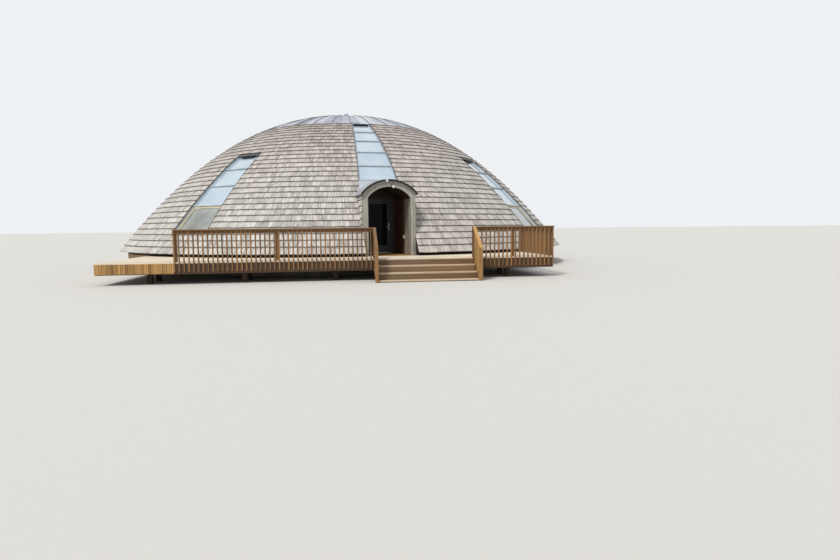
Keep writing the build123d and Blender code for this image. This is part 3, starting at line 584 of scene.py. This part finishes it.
# Metal cap: pale grey sheet metal in gores, folded together at dark standing seams over the ribs and turned
# down over the top course of shakes. It has dulled unevenly, sheet by sheet. The same sheet is dressed over
# the shoulders of the porch's roof, up to the foot of the window strip above it.
def loft(bm, rings):
    """A closed solid through rings of points, with flat ends."""
    loops = []
    for points in rings:
        ring = [bm.verts.new(point) for point in points]
        loops.append([bm.edges.new((ring[i], ring[(i + 1) % len(ring)])) for i in range(len(ring))])
        if points is rings[0] or points is rings[-1]:
            bmesh.ops.contextual_create(bm, geom=ring)
    for low_loop, high_loop in zip(loops[:-1], loops[1:]):
        bmesh.ops.bridge_loops(bm, edges=low_loop + high_loop)
    bmesh.ops.recalc_face_normals(bm, faces=bm.faces)


def between(first, last, steps):
    """Evenly spaced numbers from a first to a last."""
    return [first + (last - first) * step / steps for step in range(steps + 1)]


def skin_ring(azimuth, low_length, high_length, corners):
    """Corners given in a place's own axes on the skin, as points."""
    matrix = slope_frame(azimuth, low_length, high_length)
    return [matrix @ Vector(corner) for corner in corners]


cap_metal = Finish("dulled sheet metal", Metallic=0.35)
cap_spot = cap_metal.place(even, -(door_azimuth + bay_angle / 2))
cap_turn = cap_metal.axis(cap_spot, "Y").maths("ARCTAN2", cap_metal.axis(cap_spot, "X"))
cap_tone = (cap_turn * (rib_count / math.tau) + 0.5).chance()
cap_bloom = cap_metal.noise(cap_metal.place(), 1.6, 6.0, 0.65)
cap_colour = cap_metal.ramp(
    cap_bloom * 0.55 + cap_tone * 0.45,
    (0.3, (132, 137, 147)), (0.5, (172, 177, 186)), (0.75, (204, 208, 215)),
)
cap_metal.surface(cap_colour, cap_bloom * 0.3 + 0.32, cap_metal.noise(cap_metal.place(), 2.2, 1.0), 0.012)
dress(cap_metal, "metal_cap", "porch_flashing")
seam_foot, seam_top, seam_half, seam_steps, skin_step = 0.008, 0.03, 0.007, 12, 0.05
seam_start, seam_end = cap_edge - 0.055, arc_length(0.16)
seam_corners = (
    (-seam_half, 0, seam_foot), (seam_half, 0, seam_foot), (seam_half, 0, seam_top), (-seam_half, 0, seam_top)
)
seams = bmesh.new()
for rib in range(rib_count):
    azimuth = door_azimuth + bay_angle * (rib + 0.5)
    lengths = between(seam_start, seam_end, seam_steps)
    loft(seams, [skin_ring(azimuth, length, length + skin_step, seam_corners) for length in lengths])
# The seams' darker colour is partly dirt and partly painted shade along the folds.
seam_metal = patterned(
    "seam metal darkened by dirt and painted shade", (78, 80, 88), (118, 121, 130), (even, 6.0, 4.0), depth=0.0005, Metallic=0.35,
    Roughness=0.6,
)
add_piece("cap_seams", seams, seam_metal)
spandrel_top = arc_length(skin_radius(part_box("porch_flashing")[1].z))
spandrel_low, spandrel_high, spandrel_steps = 0.003, 0.011, 8
spandrel_rings = []
for length in between(front_foot - 0.05, spandrel_top, spandrel_steps):
    radius = arc_radius(length)
    ways = [outward(door_azimuth + bay_angle * share) for share in between(-0.5, 0.5, spandrel_steps)]
    under = [way * radius + Vector((0, 0, skin_level(radius) + spandrel_low)) for way in ways]
    over = [way * (radius + 0.004) + Vector((0, 0, skin_level(radius) + spandrel_high)) for way in ways]
    spandrel_rings.append(under + over[::-1])
spandrel = bmesh.new()
loft(spandrel, spandrel_rings)
trim_to_porch(add_piece("spandrel_flashing", spandrel, cap_metal))


# Vent: a small spun metal cowl on a short neck, with a flat foot flange. It is riveted over the hole at the
# very top of the cap and lets warm air out.
def turned(bm, profile, matrix, steps=24):
    """A turned solid from (radius, height) points, whose first and last lie on its axis."""
    points = [bm.verts.new((radius, 0, height)) for radius, height in profile]
    line = [bm.edges.new(pair) for pair in zip(points[:-1], points[1:])]
    before = set(bm.verts) - set(points)
    bmesh.ops.spin(
        bm, geom=points + line, axis=(0, 0, 1), cent=(0, 0, 0), angle=math.tau, steps=steps, use_merge=True
    )
    bmesh.ops.remove_doubles(bm, verts=[vert for vert in bm.verts if vert not in before], dist=0.00002)
    bmesh.ops.transform(bm, matrix=matrix, verts=[vert for vert in bm.verts if vert not in before])
    bmesh.ops.recalc_face_normals(bm, faces=bm.faces)


vent_low, vent_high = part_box("cap_vent")
vent_radius = (vent_high.x - vent_low.x) / 2
vent = bmesh.new()
turned(
    vent,
    (
        (0.0, 0.0), (0.08, 0.0), (0.075, 0.008), (0.06, 0.012), (0.06, 0.148), (vent_radius * 0.98, 0.15),
        (vent_radius, 0.156), (vent_radius * 0.92, 0.19), (vent_radius * 0.6, 0.222),
        (0.0, vent_high.z - vent_low.z),
    ),
    Matrix.Translation((0, 0, vent_low.z)), 32,
)
add_piece("vent_cowl", vent, cap_metal, replaced="cap_vent")

# Window strips: painted metal bars between laminated side frames, and sealed double panes bedded in them. The
# sloping panes have the pale blue of the sky that they face set in their colour as a painted reflection, and the
# windows below them the grey of the dim room behind them as painted shade.
# Dark folded sheets close the shakes off along each strip's sides and over the side strips' heads. Their
# near-black also stands in as painted shade for the shadow gap there.
frame_metal = patterned(
    "grey-blue frame metal", (164, 174, 182), (202, 211, 219), (even, 3.0, 6.0, 0.65), (even, 90.0),
    gloss=(0.2, 0.32), depth=0.0004, Metallic=0.3,
)
dress(frame_metal, "front_skylight_frame", "side_skylight_frames")
# Partly painted shade: the sheets' dark colour also stands for the shadow gap beside each strip.
dark_edge_metal_and_shade = patterned(
    "dark frame metal", (46, 45, 46), (84, 82, 82), (even, 5.0, 6.0, 0.65), depth=0.0004, Roughness=0.6
)
edge_steps, edge_thickness, edge_foot, edge_top = 14, 0.014, -0.01, 0.036
head_steps, head_width, head_foot, head_top, head_inset = 8, 0.13, 0.002, 0.022, 0.5
head_corners = ((0, 0, head_foot), (0, head_width, head_foot), (0, head_width, head_top), (0, 0, head_top))
edge_sheets = bmesh.new()
for bay in range(gore_count):
    azimuth = door_azimuth + bay * gore_angle
    foot, head = (side_sill, side_head) if bay else (spandrel_top, cap_edge - 0.06)
    for side in (-1, 1):
        near, far = -side * strip_overlap, -side * (strip_overlap + edge_thickness)
        corners = ((near, 0, edge_foot), (far, 0, edge_foot), (far, 0, edge_top), (near, 0, edge_top))
        turn = azimuth + side * bay_angle / 2
        lengths = between(foot, head, edge_steps)
        loft(edge_sheets, [skin_ring(turn, length, length + skin_step, corners) for length in lengths])
    if bay:
        turns = [azimuth + (bay_angle - head_inset) * share for share in between(-0.5, 0.5, head_steps)]
        loft(edge_sheets, [skin_ring(turn, head - head_width, head, head_corners) for turn in turns])
add_piece("strip_edge_sheets", edge_sheets, dark_edge_metal_and_shade)
# Painted reflection and painted shade: the sky glass's pale blue and the window glass's grey are set as colour.
clear = {"gloss": (0.08, 0.03), "depth": None, "Coat_Weight": 1.0, "Coat_Roughness": 0.02, "IOR": 1.5}
sky_glass = patterned("sky glass", (162, 180, 194), (186, 201, 212), (even, 0.9, 5.0, 0.6), **clear)
dress(sky_glass, "front_skylight_glass", "side_skylight_glass")
window_glass = patterned(
    "window glass", (104, 106, 98), (150, 157, 154), (even, 1.1), ends=(0.35, 0.65), **clear
)
dress(window_glass, "side_window_glass")

# Sashes: pale varnished softwood frames under the transoms of the side windows, mortised at their corners. The
# varnish has worn to a satin, with the grain a little raised.
pale_timber = Finish("pale varnished softwood")
sash_grain = pale_timber.noise(pale_timber.place((14.0, 14.0, 2.0)), 1.0, 5.0, 0.6)
sash_gloss = pale_timber.noise(pale_timber.place(), 60.0) * 0.2 + 0.4
sash_colour = pale_timber.ramp(sash_grain, (0.3, (176, 164, 130)), (0.7, (212, 203, 174)))
pale_timber.surface(sash_colour, sash_gloss, sash_grain, 0.001)
dress(pale_timber, "side_window_sashes")


# Head boxes: black folded-metal boxes at the top of each strip, which house a rolled blind. Each is closed by
# two slightly larger end plates, riveted on.
def islands(node):
    """Separate solids of a node, each as the list of its corner points."""
    copy = bmesh.new()
    copy.from_mesh(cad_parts[node].data)
    bmesh.ops.remove_doubles(copy, verts=copy.verts, dist=0.00005)
    seen, found = set(), []
    for start in copy.verts:
        if start in seen:
            continue
        queue, solid = [start], []
        seen.add(start)
        while queue:
            vert = queue.pop()
            solid.append(vert.co.copy())
            for edge in vert.link_edges:
                other = edge.other_vert(vert)
                if other not in seen:
                    seen.add(other)
                    queue.append(other)
        found.append(solid)
    copy.free()
    return found


black_metal = patterned(
    "black metal", (22, 23, 25), (46, 47, 49), (even, 9.0, 6.0, 0.65), (even, 140.0), ends=(0.35, 0.75),
    gloss=(0.2, 0.6), depth=0.0003, Specular_IOR_Level=0.25,
)
box_ease, plate_thickness, plate_margin = 0.006, 0.006, 0.006
head_boxes = bmesh.new()
for solid in islands("skylight_head_boxes"):
    centre = sum(solid, Vector()) / len(solid)
    across = sideways(math.degrees(math.atan2(centre.x, -centre.y)))
    width = max((a - b).dot(across) for a in solid for b in solid)
    rising = [a - b for a in solid for b in solid if abs((a - b).dot(across)) < 0.001 and a.z > b.z]
    short = min(edge.length for edge in rising)
    slope = min((edge for edge in rising if edge.length > short + 0.001), key=lambda edge: edge.length)
    short, long = round(short, 4), round(slope.length, 4)
    plate = (plate_thickness, long + plate_margin, short + plate_margin)
    for size, shift in (
        ((width - 2 * plate_thickness, long, short), 0), (plate, width / 2 - plate_thickness / 2),
        (plate, plate_thickness / 2 - width / 2),
    ):
        place = axes(centre, across, slope.normalized()) @ Matrix.Translation((shift, 0, 0))
        block(head_boxes, place, size, min(box_ease, min(size) / 4), 2)
add_piece("head_boxes", head_boxes, black_metal, replaced="skylight_head_boxes")

# Porch: two timber-framed walls, shingled outside, under a curved ceiling of dark boards. Inside, the walls are
# lined with upright boards, grey by the arch and dark brown towards the door.
grey_paint = stained("grey painted boards", (92, 88, 78), (150, 144, 130), (168, 162, 148), 0.4, 0.7)
brown_timber = stained("brown panelling", (62, 36, 22), (112, 68, 42), (96, 70, 52), 0.3, 0.5)
porch_core = patterned(
    "grey porch boards", (116, 113, 105), (152, 149, 140), ((22.0, 22.0, 1.2), 1.0, 4.0), turn=door_azimuth,
    Roughness=0.75,
)
dress(porch_core, "porch_left_cheek", "porch_right_cheek")
dark_ceiling = patterned(
    "dark ceiling boards", (36, 25, 18), (62, 43, 30), ((26.0, 1.4, 26.0), 1.0, 4.0), turn=door_azimuth,
    Roughness=0.65,
)
dress(dark_ceiling, "porch_ceiling", "door_wall")
inner_half_width, inner_spring, inner_apex = 0.72, deck_level + 1.86, deck_level + 2.23
lining_thickness, lining_gap, lining_count, grey_count = 0.014, 0.004, 22, 9
lining_pitch = (porch_front - 0.05 - porch_back - 0.15) / lining_count
linings = {"grey": Lumber(21), "brown": Lumber(22)}
for side in (-1, 1):
    low_x, high_x = sorted((side * inner_half_width, side * (inner_half_width - lining_thickness)))
    for index in range(lining_count):
        near = index * lining_pitch - cheek_front
        linings["grey" if index < grey_count else "brown"].board(
            (low_x, near, deck_level + lining_gap),
            (high_x, near + lining_pitch - lining_gap, inner_spring - lining_gap), "z", place=porch_frame,
        )
add_piece("porch_grey_lining", linings["grey"].bm, grey_paint)
add_piece("porch_brown_lining", linings["brown"].bm, brown_timber)


# Arch: grey-painted boards sawn to the curve, two meeting at the apex over two straight legs, with a second,
# thinner row planted on them round the opening.
def arch_points(half_width, spring, apex, steps=16):
    """Points of half an arch's outline, from the deck up to the apex, as (across, level)."""
    radius = curve_radius(half_width, apex - spring)
    points = [(half_width, deck_level + 0.002), (half_width, spring)]
    for angle in between(math.asin(half_width / radius), 0, steps)[1:]:
        points.append((radius * math.sin(angle), apex - radius + radius * math.cos(angle)))
    return points


def arch_boards(bm, inner, outer, back, front):
    """A leg and a curved board on each side, between two outlines, from a back face to a front one."""
    for side in (-1, 1):
        rings = []
        for (inside, low), (outside, high) in zip(inner, outer):
            corners = (inside, back, low), (inside, front, low), (outside, front, high), (outside, back, high)
            rings.append([(side * across, -distance, level) for across, distance, level in corners])
        loft(bm, rings[:2])
        loft(bm, rings[1:])


opening = arch_points(0.70, inner_spring, inner_apex - 0.02)
row_back, row_front, board_back = porch_front - 0.012, porch_front + 0.01, porch_front - 0.05
arch = bmesh.new()
arch_boards(arch, opening, arch_points(outer_half_width, outer_spring, outer_apex), board_back, row_back)
arch_boards(arch, opening, arch_points(0.785, inner_spring + 0.06, inner_apex + 0.06), row_back, row_front)
bmesh.ops.bevel(
    arch, geom=[edge for edge in arch.edges if edge.calc_face_angle(0) > math.radians(50)], offset=0.003,
    offset_type="OFFSET", segments=1, profile=0.5, affect="EDGES", material=-1,
)
bmesh.ops.transform(arch, matrix=porch_frame, verts=arch.verts)
arch_paint = patterned(
    "grey arch boards", (134, 134, 126), (182, 180, 170), ((9.0, 9.0, 3.0), 1.0, 6.0, 0.65),
    ((60.0, 60.0, 9.0), 1.0), 0.3, turn=door_azimuth, Roughness=0.7,
)
add_piece("porch_arch_boards", arch, arch_paint, replaced="porch_face_boards")

# Porch roof: a thin curved deck under the same dulled sheet metal as the cap's. A strip of dark mineral-faced
# roofing is bent down over its front edge as a drip.
dress(cap_metal, "porch_roof")
roofing = patterned(
    "dark mineral roofing", (24, 22, 21), (56, 52, 48), (even, 2.5, 5.0, 0.6), (even, 260.0, 2.0), 0.5,
    depth=0.002, Roughness=0.9,
)
drip_inside, drip_outside = arch_radius - 0.01, arch_radius + porch_roof_thickness + 0.005
drip_back, drip_front, drip_steps = porch_front + 0.07, porch_front + 0.084, 32
drip_reach = math.asin(outer_half_width / arch_radius) + math.radians(4.0)
drip_corners = (
    (drip_inside, drip_back), (drip_outside, drip_back), (drip_outside, drip_front), (drip_inside, drip_front)
)
roof_edge = bmesh.new()
loft(roof_edge, [
    [
        (radius * math.sin(angle), -distance, arch_centre + radius * math.cos(angle))
        for radius, distance in drip_corners
    ]
    for angle in between(-drip_reach, drip_reach, drip_steps)
])
bmesh.ops.transform(roof_edge, matrix=porch_frame, verts=roof_edge.verts)
add_piece("porch_roof_edge", roof_edge, roofing)

# Lamp: a white twin floodlight with a round base plate, screwed to the arch's apex, and two flared heads on a
# dark arm and yoke. A small white outlet box sits on the right-hand lining, at knee height.
white_plastic = patterned(
    "white plastic", (216, 215, 209), (238, 238, 234), (even, 14.0, 4.0), depth=0.0003, Roughness=0.4
)
lamp_level = (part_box("porch_lamp")[0].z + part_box("porch_lamp")[1].z) / 2
quarter_turn = math.radians(90)
out_of_wall = (
    porch_frame @ Matrix.Translation((0, -porch_front, lamp_level)) @ Matrix.Rotation(quarter_turn, 4, "X")
)
lamp_arm = bmesh.new()
turned(lamp_arm, ((0, 0), (0.014, 0), (0.014, 0.1), (0, 0.104)), out_of_wall, 16)
head_across, head_drop, head_out, yoke_half = 0.085, 0.095, 0.082, 0.127
yoke_turn = Matrix.Rotation(math.atan2(-head_drop, head_across), 4, "Z") @ Matrix.Rotation(quarter_turn, 4, "Y")
yoke = out_of_wall @ Matrix.Translation((0, 0, 0.09)) @ yoke_turn
turned(lamp_arm, ((0, -yoke_half), (0.011, -yoke_half), (0.011, yoke_half), (0, yoke_half)), yoke, 12)
add_piece("porch_lamp_arm", lamp_arm, black_metal)
lamp = bmesh.new()
turned(lamp, ((0, 0), (0.052, 0), (0.052, 0.018), (0.044, 0.028), (0, 0.03)), out_of_wall)
lamp_head = (
    (0, 0), (0.02, 0.0), (0.026, 0.008), (0.026, 0.03), (0.034, 0.042), (0.045, 0.07), (0.045, 0.084),
    (0.041, 0.086), (0.038, 0.078), (0, 0.084),
)
for side in (-1, 1):
    lean = Matrix.Rotation(math.radians(12 * side), 4, "Y") @ Matrix.Rotation(math.radians(10), 4, "X")
    hung = Matrix.Translation((side * head_across, -side * head_drop, head_out))
    turned(lamp, lamp_head, out_of_wall @ hung @ lean)
add_piece("porch_floodlight", lamp, white_plastic, replaced="porch_lamp")
outlet_side = inner_half_width - lining_thickness
outlet = Lumber(23)
outlet.board(
    (outlet_side - 0.045, -porch_front + 0.9, deck_level + 0.53),
    (outlet_side, -porch_front + 0.98, deck_level + 0.65), "z", 0.008, porch_frame,
)
add_piece("porch_outlet_box", outlet.bm, white_plastic)

# Door: a green-painted timber leaf with a full pane of glass, in a painted frame on a metal-edged threshold. It
# hangs on three steel hinges and has a lever handle on a long plate.
green_paint = patterned(
    "green paint", (22, 34, 29), (40, 56, 48), ((7.0, 7.0, 1.2), 1.0, 6.0, 0.6), ((50.0, 50.0, 5.0), 1.0),
    ends=(0.3, 0.75), gloss=(0.2, 0.28), depth=0.0006,
)
dress(green_paint, "door_leaf", "door_frame")
# Painted shade: the pane's near-black colour stands for the dark room behind the glass.
door_pane = Finish("door glass", Base_Color=paint(15, 18, 18), Transmission_Weight=0.3, IOR=1.15)
smear = door_pane.noise(door_pane.place(), 3.0, 4.0) * 0.05
door_pane.tree.links.new(smear.socket, door_pane.shader.inputs["Roughness"])
dress(door_pane, "door_glass")
steel = patterned(
    "brushed steel", (150, 150, 148), (196, 196, 193), ((30.0, 30.0, 400.0), 1.0), gloss=(0.2, 0.25),
    depth=None, Metallic=1.0,
)
dress(steel, "door_hinge_plates", "door_hinge_leaves", "door_threshold")
door_middle, door_half, leaf_thickness, bead = 0.07, 0.45, 0.045, 0.014
glass_left, glass_right = door_middle - door_half + 0.115, door_middle + door_half - 0.115
glass_foot, glass_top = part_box("door_leaf")[0].z + 0.23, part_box("door_leaf")[1].z - 0.125
beads = Lumber(31)
for face in (-porch_back - leaf_thickness, -porch_back - bead):
    for low_x, high_x, low_z, high_z in (
        (glass_left, glass_left + bead, glass_foot, glass_top),
        (glass_right - bead, glass_right, glass_foot, glass_top),
        (glass_left + bead, glass_right - bead, glass_foot, glass_foot + bead),
        (glass_left + bead, glass_right - bead, glass_top - bead, glass_top),
    ):
        beads.board((low_x, face + 0.002, low_z), (high_x, face + 0.012, high_z), place=porch_frame)
add_piece("door_beads", beads.bm, green_paint, body="door")
handle_across, handle_level = door_middle + door_half - 0.0575, deck_level + 0.95
plate_size = (0.045, 0.008, 0.24)
spindle_profile = (0, 0.004), (0.016, 0.004), (0.016, 0.012), (0.009, 0.016), (0.009, 0.046), (0, 0.05)
lever_profile = (0, 0), (0.006, 0), (0.0085, 0.004), (0.008, 0.12), (0.005, 0.126), (0, 0.128)
handle = bmesh.new()
for face, way in ((-porch_back - leaf_thickness, -1), (-porch_back, 1)):
    plate = Matrix.Translation((handle_across, face + way * 0.004, handle_level))
    block(handle, plate, plate_size, 0.0025, 2)
    spindle = Matrix.Translation((handle_across, face, handle_level))
    turned(handle, spindle_profile, spindle @ Matrix.Rotation(-quarter_turn * way, 4, "X"), 16)
    lever = Matrix.Translation((handle_across + 0.012, face + way * 0.041, handle_level))
    turned(handle, lever_profile, lever @ Matrix.Rotation(-quarter_turn, 4, "Y"), 16)
bmesh.ops.transform(handle, matrix=porch_frame, verts=handle.verts)
add_piece("door_lever", handle, steel, body="door", replaced="door_handle")

# Deck: square-edged boards laid level from side to side over joists, two beams and short posts. The boards
# butt over joists, are scribed round the platform, and have bleached to a pale straw grey. A dark rim and a
# skirt of narrow upright boards close the deck's sides.
deck_timber = stained("bleached deck boards", (176, 156, 128), (232, 216, 192), (206, 198, 184), 0.7, 0.75)
board_pitch, board_gap, butt_gap, least_board, rim_thickness = 0.145, 0.005, 0.001, 1.5, 0.045
joist_span = deck_high.x - deck_low.x - 2 * rim_thickness
joist_count = int(joist_span / 0.6)
joist_lines = [
    deck_low.x + rim_thickness + joist_span * (index + 0.5) / joist_count for index in range(joist_count)
]
deck_boards = Lumber(41)
for row in range(math.ceil((deck_high.y - deck_low.y) / board_pitch)):
    low_y = deck_low.y + row * board_pitch
    high_y = min(low_y + board_pitch - board_gap, deck_high.y)
    if high_y - low_y < 0.03:
        continue
    cuts = sorted(deck_boards.draw.sample(joist_lines[3:-3], 3))
    cuts = [cut for cut, after in zip(cuts, cuts[1:] + [math.inf]) if after - cut > least_board]
    for low_x, high_x in zip([deck_low.x, *cuts], [*cuts, deck_high.x]):
        if math.hypot(max(abs(low_x), abs(high_x)), low_y) >= platform_radius:
            low, high = (low_x + butt_gap, low_y, deck_low.z), (high_x - butt_gap, high_y, deck_high.z)
            deck_boards.board(low, high, "x")
deck_piece = add_piece("deck_boards", deck_boards.bm, deck_timber, replaced="deck_surface")
scribe_radius = platform_radius + 0.003
platform_edge = bmesh.new()
bmesh.ops.create_cone(
    platform_edge, cap_ends=True, segments=256, radius1=scribe_radius, radius2=scribe_radius, depth=1,
    matrix=Matrix.Translation((0, 0, deck_level)),
)
carve(deck_piece, platform_edge)


def boxes(node):
    """Lowest and highest corners of each of a node's solids."""
    return [[Vector([pick(row) for row in zip(*solid)]) for pick in (min, max)] for solid in islands(node)]


def boards_like(node, seed, finish, along):
    """Replaces a node made of plain boxes by boards of the same size and place."""
    boards = Lumber(seed)
    for low, high in boxes(node):
        boards.board(low, high, along, 0.004)
    add_piece(f"{node}_boards", boards.bm, finish, replaced=node)


# Painted shade: the framing's colour is darkened for the shade under the deck and the steps.
framing = stained("framing timber darkened as shade", (46, 34, 23), (74, 56, 38), (66, 58, 48), 0.5, 0.8)
boards_like("deck_joists", 51, framing, "y")
boards_like("deck_beams", 52, framing, "x")
boards_like("deck_posts", 53, framing, "z")
skirt = Lumber(54)
for low, high in boxes("deck_skirt"):
    side = 0 if high.x - low.x > high.y - low.y else 1
    middle = (low[side] + high[side]) / 2
    for start, stop in ((low[side], middle - 0.004), (middle + 0.004, high[side])):
        near, far = low.copy(), high.copy()
        near[side], far[side] = start, stop
        skirt.board(near, far, "z", 0.004)
add_piece("deck_skirt_boards", skirt.bm, stained_timber, replaced="deck_skirt")
rim = Lumber(55)
rim_low, rim_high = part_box("deck_rim")
rim_back = rim_low.y + rim_thickness
rim.board(rim_low, (rim_high.x, rim_back, rim_high.z), "x")
for low_x in (rim_low.x, rim_high.x - rim_thickness):
    nearest = min(abs(low_x), abs(low_x + rim_thickness))
    back = -math.sqrt(platform_radius**2 - nearest**2)
    rim.board((low_x, rim_back, rim_low.z), (low_x + rim_thickness, back, rim_high.z), "y")
rim_timber = stained("rim timber", (42, 27, 13), (76, 51, 27), (70, 54, 37), 0.35)
add_piece("deck_rim_boards", rim.bm, rim_timber, replaced="deck_rim")

# Railings: square balusters screwed to the rim's face, a board on edge behind their tops, posts on the deck and
# a flat cap over all. The stain has worn thin on the cap and on the balusters' outer faces.
rail_timber = stained("brown stained rails", (86, 58, 30), (148, 106, 60), (134, 112, 82), 0.45)
front_face = deck_low.y
rail_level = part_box("front_railing_left")[1].z
cap_half, cap_thickness, cap_ease, edge_board, baluster, post = 0.07, 0.038, 0.006, 0.089, 0.038, 0.089
baluster_pitch, baluster_foot = 0.13, deck_level - 0.27
cap_foot = rail_level - cap_thickness
board_foot = cap_foot - edge_board
for name, seed in (("left", 61), ("right", 62)):
    node = f"front_railing_{name}"
    low_x, high_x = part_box(node)[0].x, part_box(node)[1].x if name == "left" else deck_high.x
    rail = Lumber(seed)
    rail.board(
        (low_x, front_face - cap_half, cap_foot), (high_x, front_face + cap_half, rail_level), "x", cap_ease
    )
    rail.board((low_x, front_face, board_foot), (high_x, front_face + baluster, cap_foot), "x")
    count = int((high_x - low_x) // baluster_pitch)
    for index in range(count + 1):
        low = low_x + (high_x - low_x - baluster) / count * index
        rail.board((low, front_face - baluster, baluster_foot), (low + baluster, front_face, cap_foot), "z")
    for low in (low_x, (low_x + high_x - post) / 2, high_x - post):
        for foot, top in ((deck_level, board_foot), (board_foot, cap_foot)):
            rail.board((low, front_face + baluster, foot), (low + post, front_face + post, top), "z")
    add_piece(f"front_rail_{name}", rail.bm, rail_timber, replaced=node)
side_rail = Lumber(63)
side_low, side_high = (corner.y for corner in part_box("side_railing_right"))
side_face = deck_high.x
side_rail.board(
    (side_face - cap_half, side_low, cap_foot), (side_face + cap_half, side_high, rail_level), "y", cap_ease
)
side_rail.board(
    (side_face - baluster, side_low + post, board_foot), (side_face, side_high - post, cap_foot), "y"
)
count = int((side_high - side_low) // baluster_pitch)
for low in between(side_low, side_high - baluster, count):
    side_rail.board((side_face, low, baluster_foot), (side_face + baluster, low + baluster, cap_foot), "z")
side_rail.board((side_face - post, side_high - post, deck_level), (side_face, side_high, cap_foot), "z")
add_piece("side_rail_right", side_rail.bm, rail_timber, replaced="side_railing_right")

# Steps: three treads of two boards each with open nosings, board risers and cut stringers, all stained. The
# treads are paler than the risers, partly from wear and partly as painted light; the risers' darker stain is
# partly painted shade.
tread_timber = stained("tread boards worn and painted light", (132, 106, 78), (200, 176, 146), (192, 178, 158), 0.85)
treads = Lumber(71)
for low, high in boxes("stair_treads"):
    middle = (low.y + high.y) / 2
    treads.board(low, (high.x, middle - 0.002, high.z), "x", 0.006)
    treads.board((low.x, middle + 0.002, low.z), high, "x", 0.004)
add_piece("tread_boards", treads.bm, tread_timber, replaced="stair_treads")
# Partly painted shade: the risers' stain is darker than the treads'.
riser_timber = stained("riser boards", (80, 60, 38), (136, 106, 72), (124, 106, 82), 0.45)
boards_like("stair_risers", 72, riser_timber, "x")
boards_like("stair_stringers", 73, framing, "y")

# Stair rails: a sloping flat handrail on each side, over close upright boards with a foot rail, ending in a
# square newel on the ground.
fall_slope, stair_run, panel_pitch, panel_gap, below_ground = 0.19 / 0.28, 0.84, 0.098, 0.008, -1.5
handrail_level = rail_level + fall_slope * cap_half
handrail_foot = handrail_level - cap_thickness
panel_foot, foot_rail_height, foot_rail_half = deck_level - 0.3, 0.09, baluster / 2 + 0.01
panel_back, newel_back = front_face - cap_half, front_face - stair_run
newel_front = newel_back - post
panel_run = panel_back - newel_back
panel_count = int(panel_run // panel_pitch)


def falling_board(boards, middle, half, low, high, along, ease=0.003):
    """A board about a middle line, from a low (y, z) to a high one. It leans along the steps' fall and stops
    at the ground."""
    for vert in boards.board((middle - half, *low), (middle + half, *high), along, ease):
        vert.co.z = max(vert.co.z + fall_slope * (vert.co.y - front_face), 0)


# Painted shade: the left rail takes the darker brown stain because it stands in shade, the right the golden one.
for name, seed, finish in (("left", 81, rail_timber), ("right", 82, stained_timber)):
    node = f"stair_rail_{name}"
    middle = (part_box(node)[0].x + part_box(node)[1].x) / 2
    rail = Lumber(seed)
    for half, low, high, along, ease in (
        (post / 2, (newel_front, handrail_foot), (panel_back, handrail_level), "y", cap_ease),
        (post / 2, (newel_front, below_ground), (newel_back, handrail_foot), "z", 0.004),
        (foot_rail_half, (newel_back, panel_foot), (panel_back, panel_foot + foot_rail_height), "y", 0.003),
    ):
        falling_board(rail, middle, half, low, high, along, ease)
    for index in range(panel_count):
        high_y = panel_back - panel_run * index / panel_count
        low_y = panel_back - panel_run * (index + 1) / panel_count + panel_gap
        falling_board(rail, middle, baluster / 2, (low_y, panel_foot), (high_y, handrail_foot), "z")
    add_piece(f"step_rail_{name}", rail.bm, finish, replaced=node)

# Studio: a plain pale floor and sky, a soft sun from the upper left and an even dome of light. The camera stands
# where the photograph was taken, a little left of the steps, turned to the right and pitched slightly down.
floor_bm = bmesh.new()
bmesh.ops.create_circle(floor_bm, cap_ends=True, segments=64, radius=400)
floor = bpy.data.objects.new("studio_floor", bpy.data.meshes.new("studio_floor"))
floor_bm.to_mesh(floor.data)
floor_bm.free()
scene.collection.objects.link(floor)
floor.location.z = -0.002
floor.data.materials.append(Finish("plain floor", Base_Color=paint(206, 204, 198), Roughness=0.9).material)
sun = bpy.data.objects.new("sun", bpy.data.lights.new("sun", "SUN"))
sun.data.energy = 2.3
sun.data.angle = math.radians(12)
sun.data.color = (1.0, 0.97, 0.93)
sun.rotation_euler = (math.radians(38), 0, math.radians(-40))
scene.collection.objects.link(sun)
world = bpy.data.worlds.new("pale sky")
world.use_nodes = True
scene.world = world
nodes, links = world.node_tree.nodes, world.node_tree.links
nodes["Background"].inputs["Color"].default_value = (0.93, 0.96, 1.0, 1.0)
nodes["Background"].inputs["Strength"].default_value = 0.66
seen_sky = nodes.new("ShaderNodeBackground")
seen_sky.inputs["Color"].default_value = (0.86, 0.88, 0.9, 1.0)
paths = nodes.new("ShaderNodeLightPath")
seen = paths.outputs["Is Camera Ray"]
for ray in ("Is Glossy Ray", "Is Transmission Ray"):
    largest = nodes.new("ShaderNodeMath")
    largest.operation = "MAXIMUM"
    links.new(seen, largest.inputs[0])
    links.new(paths.outputs[ray], largest.inputs[1])
    seen = largest.outputs[0]
blend = nodes.new("ShaderNodeMixShader")
for index, output in enumerate((seen, nodes["Background"].outputs[0], seen_sky.outputs[0])):
    links.new(output, blend.inputs[index])
links.new(blend.outputs[0], nodes["World Output"].inputs["Surface"])
camera = bpy.data.objects.new("camera", bpy.data.cameras.new("camera"))
camera.data.lens = 25.97
camera.data.clip_end = 1000
camera.matrix_world = (
    Matrix.Rotation(math.radians(-8), 4, "Z") @ Matrix.Translation((3.32, -28.41, 1.539))
    @ Matrix.Rotation(math.radians(85), 4, "X") @ Matrix.Rotation(math.radians(-0.6), 4, "Z")
)
scene.collection.objects.link(camera)
scene.camera = camera
scene.view_settings.view_transform = "Standard"
